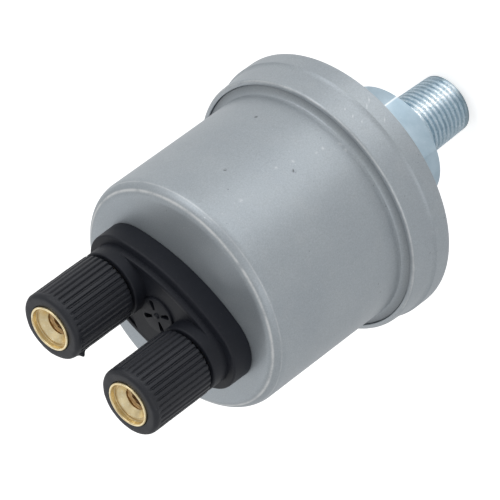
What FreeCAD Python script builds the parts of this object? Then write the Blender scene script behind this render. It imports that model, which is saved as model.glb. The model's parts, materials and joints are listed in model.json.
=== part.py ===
import FreeCAD, Part
import math
import os
import re
import Sketcher
from FreeCAD import Vector

# Oil pressure sender. Millimetres, +Z up along the sender's axis. The origin is on the axis,
# where the pipe thread meets the hexagon. The thread points down, the terminals point up.

DOC = FreeCAD.newDocument("OilPressureSender")

# Two places this close, in millimetres, are the same edge
SAME_PLACE = 1e-4

# Driving sizes, in millimetres and degrees
SIZES = {
    # clearances
    "fit_gap": 0.03,
    "running_gap": 0.05,
    "loose_gap": 0.15,
    # hexagon and pipe thread
    "thread_length": 12.5,
    "thread_tip_radius": 4.82,
    "thread_taper": 0.03125,
    "thread_lead": 0.45,
    "hex_flats": 17.0,
    "hex_height": 12.2,
    "hex_turn": 43.0,
    "hex_crown_inset": 0.35,
    "hex_crown_angle": 30.0,
    "spigot_radius": 5.6,
    "staked_radius": 7.2,
    "staked_height": 1.0,
    "oil_bore_radius": 2.0,
    "oil_bore_depth": 20.0,
    "restrictor_radius": 0.4,
    # pressure cup
    "cup_floor": 1.7,
    "cup_bend": 0.9,
    "cup_step_height": 3.3,
    "cup_step": 0.35,
    "ledge_width": 2.45,
    "chamber_depth": 2.2,
    "skirt_draft": 0.25,
    "skirt_wall": 0.75,
    "lip_overlap": 0.35,
    "lip_wall": 0.7,
    "lip_round": 0.9,
    "lip_edge_break": 0.15,
    # clamped stack
    "gasket_thickness": 0.55,
    "diaphragm_thickness": 0.25,
    "wave_margin": 1.6,
    "wave_pitch": 3.4,
    "wave_depth": 0.4,
    "wave_count": 3,
    "plate_thickness": 1.2,
    "plate_rise": 2.2,
    "plate_rise_gap": 1.25,
    "plate_hole_radius": 3.4,
    # housing can
    "can_radius": 19.25,
    "can_wall": 0.8,
    "can_flange": 1.37,
    "can_height": 29.1,
    "can_end_round": 5.5,
    "can_foot_round": 0.6,
    # push pin and return spring
    "pin_radius": 1.2,
    "pin_foot_radius": 2.8,
    "pin_foot_height": 0.8,
    "pin_tip_radius": 0.8,
    "pin_tip_round": 0.45,
    "pin_show": 0.4,
    "spring_radius": 2.0,
    "spring_wire_radius": 0.2,
    "spring_turns": 5.0,
    # lever bracket
    "sheet_wall": 0.8,
    "bracket_front": 4.0,
    "bracket_height": 3.2,
    "bracket_half_width": 4.0,
    "bracket_foot": 4.0,
    "ear_radius": 1.8,
    "rivet_radius": 0.8,
    "rivet_head_radius": 1.3,
    "rivet_head_height": 0.6,
    "bracket_rivet_x": 0.5,
    "bracket_rivet_inset": 1.8,
    # wiper lever
    "lever_arm": 3.2,
    "lever_sweep": 28.0,
    "lever_reach": 11.2,
    "lever_width": 2.0,
    "lever_tip_width": 1.4,
    "short_arm_width": 0.8,
    "nose_radius": 0.6,
    "lever_hub_radius": 1.3,
    "pivot_radius": 0.7,
    "blade_wall": 0.2,
    "blade_width": 1.4,
    "blade_overlap": 3.0,
    "blade_reach": 13.2,
    "wiper_rivet_radius": 0.4,
    "button_radius": 0.8,
    "button_height": 0.8,
    # resistance card and its holder
    "card_front": 4.2,
    "card_wall": 0.8,
    "card_left": 0.6,
    "card_right": 12.0,
    "card_below": 3.2,
    "card_above": 1.2,
    "winding_wall": 0.25,
    "winding_end": 1.5,
    "holder_wall": 1.4,
    "holder_post": 1.3,
    "holder_bar": 2.4,
    "holder_column_left": 8.2,
    "holder_foot": 3.8,
    "holder_foot_gap": 0.6,
    "holder_foot_wall": 1.5,
    "holder_rivet_inset": 1.7,
    # warning contact
    "contact_height": 10.6,
    "contact_pad_wall": 0.5,
    "contact_upright": 5.8,
    "contact_foot": 6.0,
    "contact_half_width": 3.0,
    "contact_top": 2.4,
    "contact_rivet_inset": 2.4,
    "screw_radius": 1.0,
    "screw_head_radius": 1.9,
    "screw_head_height": 1.4,
    "screw_slot": 0.5,
    "screw_tip_radius": 0.6,
    "screw_tip_length": 1.0,
    # leads
    "lead_radius": 0.35,
    "lead_bend": 0.9,
    # terminals
    "stud_offset": 8.1,
    "stud_radius": 2.0,
    "stud_thread_depth": 0.227,
    "stud_head_radius": 3.2,
    "stud_head_height": 1.4,
    "stud_end_chamfer": 0.4,
    "stud_engagement": 7.6,
    "insulator_margin": 1.5,
    "insulator_thickness": 1.5,
    "tag_radius": 3.4,
    "tag_thickness": 0.5,
    "tag_tail_length": 7.2,
    "tag_tail_width": 2.4,
    # terminal base
    "base_half_width": 8.2,
    "base_tip_radius": 6.8,
    "base_flange_height": 3.7,
    "base_draft": 1.0,
    "rim_inset": 0.4,
    "rim_height": 1.0,
    "rim_wall": 0.8,
    "trough_depth": 1.7,
    "hub_radius": 3.1,
    "hub_height": 1.75,
    "hub_slot_near": 0.95,
    "hub_slot_far": 2.75,
    "hub_slot_width": 0.6,
    "hub_slot_depth": 0.8,
    "pip_radius": 0.5,
    "pip_height": 0.25,
    "boss_height": 6.6,
    "boss_edge_break": 0.25,
    "nut_recess_gap": 0.26,
    "nut_recess_depth": 2.3,
    "base_spigot_radius": 3.1,
    "base_gasket_inset": 1.7,
    "base_gasket_thickness": 0.8,
    # terminal nuts
    "stud_nut_flats": 7.0,
    "stud_nut_height": 2.4,
    "cap_radius": 5.5,
    "cap_length": 11.7,
    "cap_lift": 0.5,
    "cap_end_round": 0.7,
    "cap_foot_chamfer": 0.3,
    "rib_count": 36,
    "rib_phase": 4.3,
    "rib_depth": 0.38,
    "rib_gap": 0.56,
    "rib_gap_floor": 0.2,
    "rib_stop": 1.3,
    "insert_radius": 3.65,
    "insert_proud": 0.3,
    "insert_mouth_radius": 3.05,
    "insert_mouth_depth": 0.7,
    "insert_step_radius": 2.6,
    "insert_cone_depth": 2.4,
}

# Places worked out from the sizes. Each line uses only sizes and the lines above it.
PLACES = {
    "thread_root_radius": "thread_tip_radius + thread_taper * thread_length",
    "hex_corner_radius": "hex_flats / (2 * cos(30))",
    "hex_crown_radius": "hex_flats / 2 - hex_crown_inset",
    "cup_floor_top": "hex_height + cup_floor",
    "ledge_top": "cup_floor_top + chamber_depth",
    "gasket_top": "ledge_top + gasket_thickness",
    "diaphragm_top": "gasket_top + diaphragm_thickness",
    "plate_top": "diaphragm_top + plate_thickness",
    "flange_top": "plate_top + can_wall",
    "lip_top": "flange_top + lip_wall",
    "clamp_radius": "can_radius + can_flange",
    "skirt_inner_radius": "clamp_radius + fit_gap",
    "skirt_radius": "skirt_inner_radius + skirt_wall",
    "lip_radius": "skirt_inner_radius - lip_overlap",
    "cup_radius": "skirt_radius + skirt_draft + cup_step",
    "seat_radius": "skirt_inner_radius - ledge_width",
    "wave_start": "seat_radius - wave_margin - wave_count * wave_pitch",
    "can_inner_radius": "can_radius - can_wall",
    "plate_rise_radius": "can_inner_radius - plate_rise_gap",
    "can_top": "plate_top + can_height",
    "can_inside_top": "can_top - can_wall",
    "deck_top": "plate_top + plate_rise",
    "deck_bottom": "deck_top - plate_thickness",
    "bracket_back": "lever_arm + ear_radius",
    "bracket_rivet_y": "bracket_half_width + bracket_foot - bracket_rivet_inset",
    "holder_foot_left": "bracket_back + holder_foot_gap",
    "contact_rivet_x": "contact_upright + contact_foot - contact_rivet_inset",
    "contact_rivet_y": "contact_half_width - rivet_head_radius",
    "web_top": "deck_top + bracket_height",
    "web_bottom": "web_top - sheet_wall",
    "pin_tip_top": "web_top + pin_show",
    "half_sweep": "lever_sweep / 2",
    "nose_drop": "lever_arm * sin(half_sweep)",
    "nose_reach": "lever_arm * cos(half_sweep)",
    "pivot_height": "pin_tip_top + running_gap + nose_radius + nose_drop",
    "pin_foot_top": "diaphragm_top + pin_foot_height",
    "blade_height": "pivot_height + blade_reach",
    "card_bottom": "blade_height - card_below",
    "card_top": "blade_height + card_above",
    "card_back": "card_front + card_wall",
    "winding_front": "card_front - winding_wall",
    "bar_top": "card_bottom - winding_wall - loose_gap",
    "holder_back": "card_back + holder_wall",
    "contact_pad_top": "deck_top + contact_pad_wall",
    "contact_line": "deck_top + contact_height",
    "button_face": "lever_arm - lever_width / 2 - button_height",
    "insulator_bottom": "can_inside_top - insulator_thickness",
    "stud_pitch_radius": "stud_radius - stud_thread_depth",
    "stud_hole_radius": "stud_radius + loose_gap",
    "insulator_radius": "stud_offset + stud_hole_radius + insulator_margin",
    "tag_bottom": "insulator_bottom - tag_thickness",
    "stud_head_bottom": "tag_bottom - stud_head_height",
    "rim_offset": "base_draft + rim_inset",
    "rim_inner_offset": "rim_offset + rim_wall",
    "rim_top": "base_flange_height + rim_height",
    "trough_floor": "rim_top - trough_depth",
    "boss_radius": "base_tip_radius - rim_offset",
    "hub_top": "trough_floor + hub_height",
    "nut_recess_radius": "stud_nut_flats / (2 * cos(30)) + nut_recess_gap",
    "nut_recess_floor": "boss_height - nut_recess_depth",
    "stud_nut_bottom": "can_top + nut_recess_floor",
    "stud_nut_top": "stud_nut_bottom + stud_nut_height",
    "insert_bottom": "stud_nut_top + running_gap",
    "stud_top": "insert_bottom + stud_engagement",
    "cap_bottom": "can_top + boss_height + cap_lift",
    "cap_bore_radius": "insert_radius + running_gap",
    "insert_length": "cap_bottom + cap_length + insert_proud - insert_bottom",
    "thread_bore_radius": "stud_pitch_radius + running_gap",
}


# The two sheets, and expressions written with their plain names

def bound(text, own_sheet=None):
    """Put the sheet's name before each size or place that an expression uses."""

    def prefixed(found):
        word = found.group()
        if word in SIZES:
            return "Sizes." + word
        if word in PLACES and own_sheet != "Places":
            return "Places." + word
        return word

    return re.sub(r"[a-z_]+", prefixed, str(text))


def fill_sheet(name, contents):
    sheet = DOC.addObject("Spreadsheet::Sheet", name)
    for row, (alias, content) in enumerate(contents.items(), start=1):
        sheet.set(f"A{row}", alias)
        sheet.set(f"B{row}", content)
        sheet.setAlias(f"B{row}", alias)
    DOC.recompute()
    return sheet


fill_sheet("Sizes", {alias: str(size) for alias, size in SIZES.items()})
PLACE_SHEET = fill_sheet(
    "Places", {alias: "=" + bound(formula, "Places") for alias, formula in PLACES.items()}
)


def number(text):
    """The value of an expression now."""
    found = PLACE_SHEET.evalExpression(bound(text))
    return float(getattr(found, "Value", found))


# Sketches

def sketch_on(body, role, name, shift="0"):
    """A sketch on one of the body's own origin planes, moved along that plane's normal."""
    plane = next(f for f in body.Origin.OriginFeatures if f.Role == role)
    sketch = body.newObject("Sketcher::SketchObject", name)
    sketch.AttachmentSupport = [(plane, "")]
    sketch.MapMode = "FlatFace"
    sketch.setExpression("AttachmentOffset.Base.z", bound(shift))
    return sketch


def dimension(sketch, constraint, text):
    """Add a dimension and bind it to its expression."""
    index = sketch.addConstraint(constraint)
    sketch.setExpression(f"Constraints[{index}]", bound(text))


def pin_point(sketch, geometry, point, x, y):
    """Hold one point of the sketch by its two distances from the sketch's origin."""
    dimension(sketch, Sketcher.Constraint("DistanceX", -1, 1, geometry, point, number(x)), x)
    dimension(sketch, Sketcher.Constraint("DistanceY", -1, 1, geometry, point, number(y)), y)


def outline(sketch, corners):
    """A closed outline with straight sides; each corner is a pair of expressions."""
    start = sketch.GeometryCount
    points = [Vector(number(x), number(y), 0) for x, y in corners]
    count = len(points)
    for i in range(count):
        sketch.addGeometry(Part.LineSegment(points[i], points[(i + 1) % count]), False)
    for i in range(count):
        following = start + (i + 1) % count
        sketch.addConstraint(Sketcher.Constraint("Coincident", start + i, 2, following, 1))
    for i, (x, y) in enumerate(corners):
        pin_point(sketch, start + i, 1, x, y)


def rectangle(sketch, left, right, bottom, top):
    outline(sketch, [(left, bottom), (right, bottom), (right, top), (left, top)])


def circle(sketch, x, y, radius):
    centre = Vector(number(x), number(y), 0)
    index = sketch.addGeometry(Part.Circle(centre, Vector(0, 0, 1), number(radius)), False)
    pin_point(sketch, index, 3, x, y)
    dimension(sketch, Sketcher.Constraint("Radius", index, number(radius)), radius)


def hexagon(sketch, corner_radius, turn):
    corners = []
    for i in range(6):
        angle = f"({turn} + {60 * i})"
        corners.append((f"{corner_radius} * cos{angle}", f"{corner_radius} * sin{angle}"))
    outline(sketch, corners)


def oval(sketch, inset):
    """The terminal base's outline: an arc round each stud and a long arc along each side.

    The side arcs run tangent into the end arcs, so an inset keeps every centre.
    """
    swell = "(base_half_width - base_tip_radius)"
    drop = f"((stud_offset ^ 2 - {swell} ^ 2) / (2 * {swell}))"
    end = f"(base_tip_radius - ({inset}))"
    side = f"(base_half_width + {drop} - ({inset}))"
    lean = math.atan2(number("stud_offset"), number(drop))
    up = Vector(0, 0, 1)

    quarter = math.pi / 2
    arcs = [
        ("stud_offset", "0", end, lean - quarter, quarter - lean),
        ("0", f"-{drop}", side, quarter - lean, quarter + lean),
        ("-stud_offset", "0", end, quarter + lean, 3 * quarter - lean),
        ("0", drop, side, 3 * quarter - lean, 3 * quarter + lean),
    ]
    for x, y, radius, start, finish in arcs:
        whole = Part.Circle(Vector(number(x), number(y), 0), up, number(radius))
        sketch.addGeometry(Part.ArcOfCircle(whole, start, finish), False)
    for i in range(4):
        sketch.addConstraint(Sketcher.Constraint("Tangent", i, 2, (i + 1) % 4, 1))
    for i, (x, y, radius, start, finish) in enumerate(arcs):
        if radius == end:
            pin_point(sketch, i, 3, x, y)
        dimension(sketch, Sketcher.Constraint("Radius", i, number(radius)), radius)


# Features

def new_body(label, x="0", z="0"):
    body = DOC.addObject("PartDesign::Body", label)
    body.Label = label
    body.setExpression("Placement.Base.x", bound(x))
    body.setExpression("Placement.Base.z", bound(z))
    return body


def feature(body, kind, name, sketch):
    made = body.newObject("PartDesign::" + kind, name)
    made.Profile = sketch
    return made


def check_cut(body, cut, before):
    """A cut that points away from the solid removes nothing, so the volumes are compared."""
    DOC.recompute()
    if not cut.Shape.Volume < before - 1e-6:
        raise ValueError(f"{body.Label}: {cut.Name} removes nothing")


def pad(body, name, sketch, length, reverse=False, midplane=False):
    made = feature(body, "Pad", name, sketch)
    made.setExpression("Length", bound(length))
    made.Reversed = reverse
    made.Midplane = midplane
    DOC.recompute()
    return made


def pocket(body, name, sketch, length, reverse=False, midplane=False):
    before = body.Shape.Volume
    made = feature(body, "Pocket", name, sketch)
    made.setExpression("Length", bound(length))
    made.Reversed = reverse
    made.Midplane = midplane
    check_cut(body, made, before)
    return made


def revolve(body, name, corners):
    """Turn a section, drawn as radius and height, round the body's own Z axis."""
    section = sketch_on(body, "XZ_Plane", name + "_section")
    outline(section, corners)
    made = feature(body, "Revolution", name, section)
    made.ReferenceAxis = (section, ["V_Axis"])
    DOC.recompute()
    return made


def groove(body, name, corners):
    before = body.Shape.Volume
    section = sketch_on(body, "XZ_Plane", name + "_section")
    outline(section, corners)
    made = feature(body, "Groove", name, section)
    made.ReferenceAxis = (section, ["V_Axis"])
    check_cut(body, made, before)
    return made


def dress_edges(body, kind, name, size, ring_radius, ring_height):
    """Fillet or chamfer the body's circular edges that have this radius, at this height."""
    base = body.Tip
    names = []
    for index, edge in enumerate(base.Shape.Edges, start=1):
        if not isinstance(edge.Curve, Part.Circle):
            continue
        off_radius = abs(edge.Curve.Radius - number(ring_radius))
        off_height = abs(edge.Curve.Center.z - number(ring_height))
        if max(off_radius, off_height) < SAME_PLACE:
            names.append(f"Edge{index}")
    if not names:
        raise ValueError(f"{body.Label}: the edge to round is missing")
    made = body.newObject("PartDesign::" + kind, name)
    made.Base = (base, names)
    made.setExpression("Radius" if kind == "Fillet" else "Size", bound(size))
    DOC.recompute()
    return made


def repeat_round(body, name, made, axis_sketch, count):
    """Repeat a feature evenly round the body's Z axis."""
    pattern = body.newObject("PartDesign::PolarPattern", name)
    pattern.Originals = [made]
    pattern.Axis = (axis_sketch, ["N_Axis"])
    pattern.Angle = 360
    pattern.setExpression("Occurrences", bound(count))
    body.Tip = pattern
    DOC.recompute()
    return pattern


def group(label, members):
    """Several separate solids of one kind, kept as one sub-part."""
    made = DOC.addObject("Part::Compound", label)
    made.Label = label
    made.Links = members
    DOC.recompute()
    return made


# Oil side

def make_port_fitting():
    """Hexagon, tapered thread and staked spigot, turned from one bar and drilled through."""
    body = new_body("port_fitting")
    section = sketch_on(body, "XY_Plane", "hexagon")
    hexagon(section, "hex_corner_radius", "hex_turn")
    pad(body, "hexagon_bar", section, "hex_height")
    rise = "(hex_corner_radius + 1 - hex_crown_radius)"
    crown = [
        ("hex_crown_radius", "0"),
        (f"hex_crown_radius + {rise}", "0"),
        (f"hex_crown_radius + {rise}", f"{rise} * tan(hex_crown_angle)"),
    ]
    groove(body, "crown", crown)
    revolve(body, "taper_thread", [
        ("0", "0"),
        ("thread_root_radius", "0"),
        (
            "thread_tip_radius + thread_taper * thread_lead",
            "thread_lead - thread_length",
        ),
        ("thread_tip_radius - thread_lead", "-thread_length"),
        ("0", "-thread_length"),
    ])
    revolve(body, "staked_spigot", [
        ("0", "hex_height"),
        ("spigot_radius", "hex_height"),
        ("spigot_radius", "cup_floor_top"),
        ("staked_radius", "cup_floor_top"),
        ("staked_radius - staked_height / 2", "cup_floor_top + staked_height"),
        ("0", "cup_floor_top + staked_height"),
    ])
    bore_end = "(oil_bore_depth - thread_length)"
    groove(body, "oil_way", [
        ("0", "-thread_length"),
        ("oil_bore_radius", "-thread_length"),
        ("oil_bore_radius", bore_end),
        ("restrictor_radius", f"{bore_end} + oil_bore_radius / 2"),
        ("restrictor_radius", "cup_floor_top + staked_height"),
        ("0", "cup_floor_top + staked_height"),
    ])
    return body


def make_pressure_cup():
    """Cold-formed steel cup. Its thin skirt is rolled over the can's flange."""
    body = new_body("pressure_cup")
    step = "(hex_height + cup_step_height)"
    revolve(body, "formed_cup", [
        ("spigot_radius + fit_gap", "hex_height"),
        ("cup_radius", "hex_height"),
        ("cup_radius", f"{step} - cup_step"),
        ("cup_radius - cup_step", step),
        ("skirt_radius", "lip_top"),
        ("lip_radius", "lip_top"),
        ("lip_radius", "flange_top"),
        ("skirt_inner_radius", "flange_top"),
        ("skirt_inner_radius", "ledge_top"),
        ("seat_radius", "ledge_top"),
        ("seat_radius", "cup_floor_top"),
        ("spigot_radius + fit_gap", "cup_floor_top"),
    ])
    dress_edges(body, "Fillet", "lower_bend", "cup_bend", "cup_radius", "hex_height")
    dress_edges(body, "Fillet", "rolled_lip", "lip_round", "skirt_radius", "lip_top")
    dress_edges(body, "Chamfer", "lip_edge", "lip_edge_break", "lip_radius", "lip_top")
    return body


def make_diaphragm_gasket():
    body = new_body("diaphragm_gasket")
    revolve(body, "flat_ring", [
        ("seat_radius", "ledge_top"),
        ("clamp_radius", "ledge_top"),
        ("clamp_radius", "gasket_top"),
        ("seat_radius", "gasket_top"),
    ])
    return body


def make_diaphragm():
    """Pressed metal disc with ring-shaped waves, flat at its centre and its clamped rim."""
    body = new_body("diaphragm")
    slope = "wave_pitch / 4"
    lower = [("0", "gasket_top")]
    for i in range(int(number("wave_count"))):
        start = f"wave_start + {i} * wave_pitch"
        lower.append((start, "gasket_top"))
        lower.append((f"{start} + {slope}", "gasket_top - wave_depth"))
        lower.append((f"{start} + 2 * {slope}", "gasket_top - wave_depth"))
        lower.append((f"{start} + 3 * {slope}", "gasket_top"))
    lower.append(("clamp_radius", "gasket_top"))
    upper = [(x, f"{height} + diaphragm_thickness") for x, height in reversed(lower)]
    revolve(body, "waves", lower + upper)
    return body


# Mechanism

def make_mechanism_plate():
    """Pressed plate clamped with the diaphragm; its raised deck carries the movement."""
    body = new_body("mechanism_plate")
    revolve(body, "pressed_plate", [
        ("plate_hole_radius", "deck_bottom"),
        ("plate_rise_radius - plate_thickness", "deck_bottom"),
        ("plate_rise_radius - plate_thickness", "diaphragm_top"),
        ("clamp_radius", "diaphragm_top"),
        ("clamp_radius", "plate_top"),
        ("plate_rise_radius", "plate_top"),
        ("plate_rise_radius", "deck_top"),
        ("plate_hole_radius", "deck_top"),
    ])
    holes = sketch_on(body, "XY_Plane", "rivet_holes", "deck_top")
    for x, y in rivet_places("bracket") + rivet_places("holder") + rivet_places("contact"):
        circle(holes, x, y, "rivet_radius + fit_gap")
    pocket(body, "rivet_drilling", holes, "plate_thickness")
    return body


def rivet_places(which):
    """Where each pair of rivets goes through the deck."""
    places = {
        "bracket": [
            ("bracket_rivet_x", "bracket_rivet_y"),
            ("bracket_rivet_x", "-bracket_rivet_y"),
        ],
        "holder": [
            ("holder_foot_left + holder_rivet_inset", "holder_back + holder_foot / 2 + fit_gap"),
            ("card_right - holder_rivet_inset", "holder_back + holder_foot / 2 + fit_gap"),
        ],
        "contact": [
            ("-contact_rivet_x", "contact_rivet_y"),
            ("-contact_rivet_x", "-contact_rivet_y"),
        ],
    }
    return places[which]


def make_rivets(label, places, seat):
    """Rivets through the deck: a head under it and a formed head on the piece they hold."""
    rivets = []
    for index, (x, y) in enumerate(places, start=1):
        body = new_body(f"{label}_{index}", x=x)
        body.setExpression("Placement.Base.y", bound(y))
        revolve(body, "rivet", [
            ("0", "deck_bottom - rivet_head_height"),
            ("rivet_head_radius", "deck_bottom - rivet_head_height"),
            ("rivet_head_radius", "deck_bottom"),
            ("rivet_radius", "deck_bottom"),
            ("rivet_radius", seat),
            ("rivet_head_radius", seat),
            ("rivet_head_radius * 0.7", f"{seat} + rivet_head_height"),
            ("0", f"{seat} + rivet_head_height"),
        ])
        rivets.append(body)
    return group(label, rivets)


def make_push_pin():
    """Pin that stands on the diaphragm's centre and lifts the lever."""
    body = new_body("push_pin")
    shoulder = "(pin_tip_top - 2 * pin_tip_radius)"
    revolve(body, "pin", [
        ("0", "diaphragm_top"),
        ("pin_foot_radius", "diaphragm_top"),
        ("pin_foot_radius", "pin_foot_top"),
        ("pin_radius", "pin_foot_top"),
        ("pin_radius", shoulder),
        ("pin_tip_radius", f"{shoulder} + pin_radius - pin_tip_radius"),
        ("pin_tip_radius", "pin_tip_top"),
        ("0", "pin_tip_top"),
    ])
    dress_edges(body, "Fillet", "tip_dome", "pin_tip_round", "pin_tip_radius", "pin_tip_top")
    return body


def make_return_spring():
    """Coil spring between the pin's foot and the bracket's web; its wire has six flats."""
    body = new_body("return_spring", z="pin_foot_top + spring_wire_radius")
    wire = sketch_on(body, "XZ_Plane", "wire_section")
    flats = []
    for i in range(6):
        x = f"spring_radius + spring_wire_radius * cos({60 * i + 30})"
        flats.append((x, f"spring_wire_radius * sin({60 * i + 30})"))
    outline(wire, flats)
    coil = body.newObject("PartDesign::AdditiveHelix", "coil")
    coil.Profile = wire
    coil.ReferenceAxis = (wire, ["V_Axis"])
    coil.Mode = "height-turns-angle"
    coil.setExpression("Height", bound("web_bottom - pin_foot_top - 2 * spring_wire_radius"))
    coil.setExpression("Turns", bound("spring_turns"))
    DOC.recompute()
    return body


def make_lever_bracket():
    """Bent sheet bridge over the pin, with two ears that carry the lever's pivot."""
    body = new_body("lever_bracket")
    outer = "bracket_half_width"
    inner = "bracket_half_width - sheet_wall"
    bridge = sketch_on(body, "YZ_Plane", "bridge_section", "-bracket_front")
    outline(bridge, [
        (f"-({outer} + bracket_foot)", "deck_top"),
        (f"-({inner})", "deck_top"),
        (f"-({inner})", "web_bottom"),
        (inner, "web_bottom"),
        (inner, "deck_top"),
        (f"{outer} + bracket_foot", "deck_top"),
        (f"{outer} + bracket_foot", "deck_top + sheet_wall"),
        (outer, "deck_top + sheet_wall"),
        (outer, "web_top"),
        (f"-{outer}", "web_top"),
        (f"-{outer}", "deck_top + sheet_wall"),
        (f"-({outer} + bracket_foot)", "deck_top + sheet_wall"),
    ])
    pad(body, "bridge", bridge, "bracket_front + bracket_back")
    for side, shift in (("right", f"-({inner})"), ("left", outer)):
        ear = sketch_on(body, "XZ_Plane", side + "_ear_outline", shift)
        rectangle(
            ear,
            "lever_arm - ear_radius",
            "lever_arm + ear_radius",
            "web_bottom",
            "pivot_height",
        )
        pad(body, side + "_ear", ear, "sheet_wall", reverse=True)
        crown = sketch_on(body, "XZ_Plane", side + "_ear_crown", shift)
        circle(crown, "lever_arm", "pivot_height", "ear_radius")
        pad(body, side + "_crown", crown, "sheet_wall", reverse=True)
    pivot = sketch_on(body, "XZ_Plane", "pivot_holes")
    circle(pivot, "lever_arm", "pivot_height", "pivot_radius + fit_gap")
    pocket(body, "pivot_drilling", pivot, "2 * bracket_half_width + 2", midplane=True)
    guide = sketch_on(body, "XY_Plane", "pin_guide", "web_top")
    circle(guide, "0", "0", "pin_radius + running_gap")
    pocket(body, "guide_hole", guide, "sheet_wall")
    holes = sketch_on(body, "XY_Plane", "rivet_holes", "deck_top + sheet_wall")
    for x, y in rivet_places("bracket"):
        circle(holes, x, y, "rivet_radius + fit_gap")
    pocket(body, "rivet_drilling", holes, "sheet_wall")
    return body


def make_pivot_pin():
    """Plain steel pin through the bracket's ears and the lever's hub."""
    body = new_body("pivot_pin")
    section = sketch_on(body, "XZ_Plane", "pin_section")
    circle(section, "lever_arm", "pivot_height", "pivot_radius")
    pad(body, "pin", section, "2 * bracket_half_width + sheet_wall", midplane=True)
    return body


def make_wiper_lever():
    """Stamped lever: a short arm on the pin, a long arm with the wiper, and a hub tube."""
    body = new_body("wiper_lever")
    top = "(pivot_height + lever_reach)"
    long_arm = sketch_on(body, "XZ_Plane", "long_arm_outline")
    outline(long_arm, [
        ("lever_arm - lever_width / 2", "pivot_height"),
        ("lever_arm + lever_width / 2", "pivot_height"),
        ("lever_arm + lever_tip_width / 2", top),
        ("lever_arm - lever_tip_width / 2", top),
    ])
    pad(body, "long_arm", long_arm, "sheet_wall", midplane=True)
    nose = sketch_on(body, "XZ_Plane", "nose_outline")
    circle(nose, "lever_arm - nose_reach", "pivot_height - nose_drop", "nose_radius")
    pad(body, "nose", nose, "sheet_wall", midplane=True)
    short_arm = sketch_on(body, "XZ_Plane", "short_arm_outline")
    lift = "short_arm_width / 2 * cos(half_sweep)"
    lean = "short_arm_width / 2 * sin(half_sweep)"
    outline(short_arm, [
        (f"lever_arm - {lean}", f"pivot_height + {lift}"),
        (f"lever_arm - nose_reach - {lean}", f"pivot_height - nose_drop + {lift}"),
        (f"lever_arm - nose_reach + {lean}", f"pivot_height - nose_drop - {lift}"),
        (f"lever_arm + {lean}", f"pivot_height - {lift}"),
    ])
    pad(body, "short_arm", short_arm, "sheet_wall", midplane=True)
    hub = sketch_on(body, "XZ_Plane", "hub_outline")
    circle(hub, "lever_arm", "pivot_height", "lever_hub_radius")
    hub_length = "2 * (bracket_half_width - sheet_wall - loose_gap)"
    pad(body, "hub", hub, hub_length, midplane=True)
    bore = sketch_on(body, "XZ_Plane", "hub_bore")
    circle(bore, "lever_arm", "pivot_height", "pivot_radius + running_gap")
    pocket(body, "hub_drilling", bore, hub_length + " + 1", midplane=True)
    hole = sketch_on(body, "XZ_Plane", "wiper_rivet_hole")
    circle(hole, "lever_arm", wiper_rivet_height(), "wiper_rivet_radius + fit_gap")
    pocket(body, "wiper_rivet_drilling", hole, "2 * sheet_wall", midplane=True)
    return body


def wiper_rivet_height():
    return "(pivot_height + lever_reach - blade_overlap / 2)"


def make_wiper_blade():
    """Spring strip riveted on the long arm; its bent end slides on the winding."""
    body = new_body("wiper_blade")
    top = "(pivot_height + lever_reach)"
    near = "(sheet_wall / 2)"
    tip = "(winding_front - running_gap)"
    strip = sketch_on(body, "YZ_Plane", "strip_section", "lever_arm")
    outline(strip, [
        (near, f"{top} - blade_overlap"),
        (f"{near} + blade_wall", f"{top} - blade_overlap"),
        (f"{near} + blade_wall", f"{top} - blade_wall / 2"),
        (tip, "blade_height - blade_wall"),
        (tip, "blade_height + 3 * blade_wall"),
        (f"{tip} - blade_wall", "blade_height + 3 * blade_wall"),
        (f"{tip} - blade_wall", "blade_height"),
        (near, f"{top} + blade_wall / 2"),
    ])
    pad(body, "strip", strip, "blade_width", midplane=True)
    hole = sketch_on(body, "XZ_Plane", "wiper_rivet_hole")
    circle(hole, "lever_arm", wiper_rivet_height(), "wiper_rivet_radius + fit_gap")
    pocket(body, "wiper_rivet_drilling", hole, "2 * sheet_wall", midplane=True)
    return body


def make_wiper_rivet():
    body = new_body("wiper_rivet")
    spans = [
        ("shank", "-(sheet_wall / 2)", "sheet_wall + blade_wall", "wiper_rivet_radius"),
        (
            "back_head",
            "-(sheet_wall / 2 + wiper_rivet_radius)",
            "wiper_rivet_radius",
            "1.7 * wiper_rivet_radius",
        ),
        (
            "front_head",
            "sheet_wall / 2 + blade_wall",
            "wiper_rivet_radius",
            "1.7 * wiper_rivet_radius",
        ),
    ]
    for name, start, length, radius in spans:
        section = sketch_on(body, "XZ_Plane", name + "_section", f"-({start})")
        circle(section, "lever_arm", wiper_rivet_height(), radius)
        pad(body, name, section, length, reverse=True)
    return body


def make_moving_contact():
    """Silver contact button on the long arm's edge."""
    body = new_body("moving_contact")
    section = sketch_on(body, "YZ_Plane", "button_section", "button_face")
    circle(section, "0", "contact_line", "button_radius")
    edge = "(lever_width - lever_tip_width) / 2 * (contact_line - pivot_height) / lever_reach"
    pad(body, "button", section, f"button_height + {edge}")
    return body


# Resistance card

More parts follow.
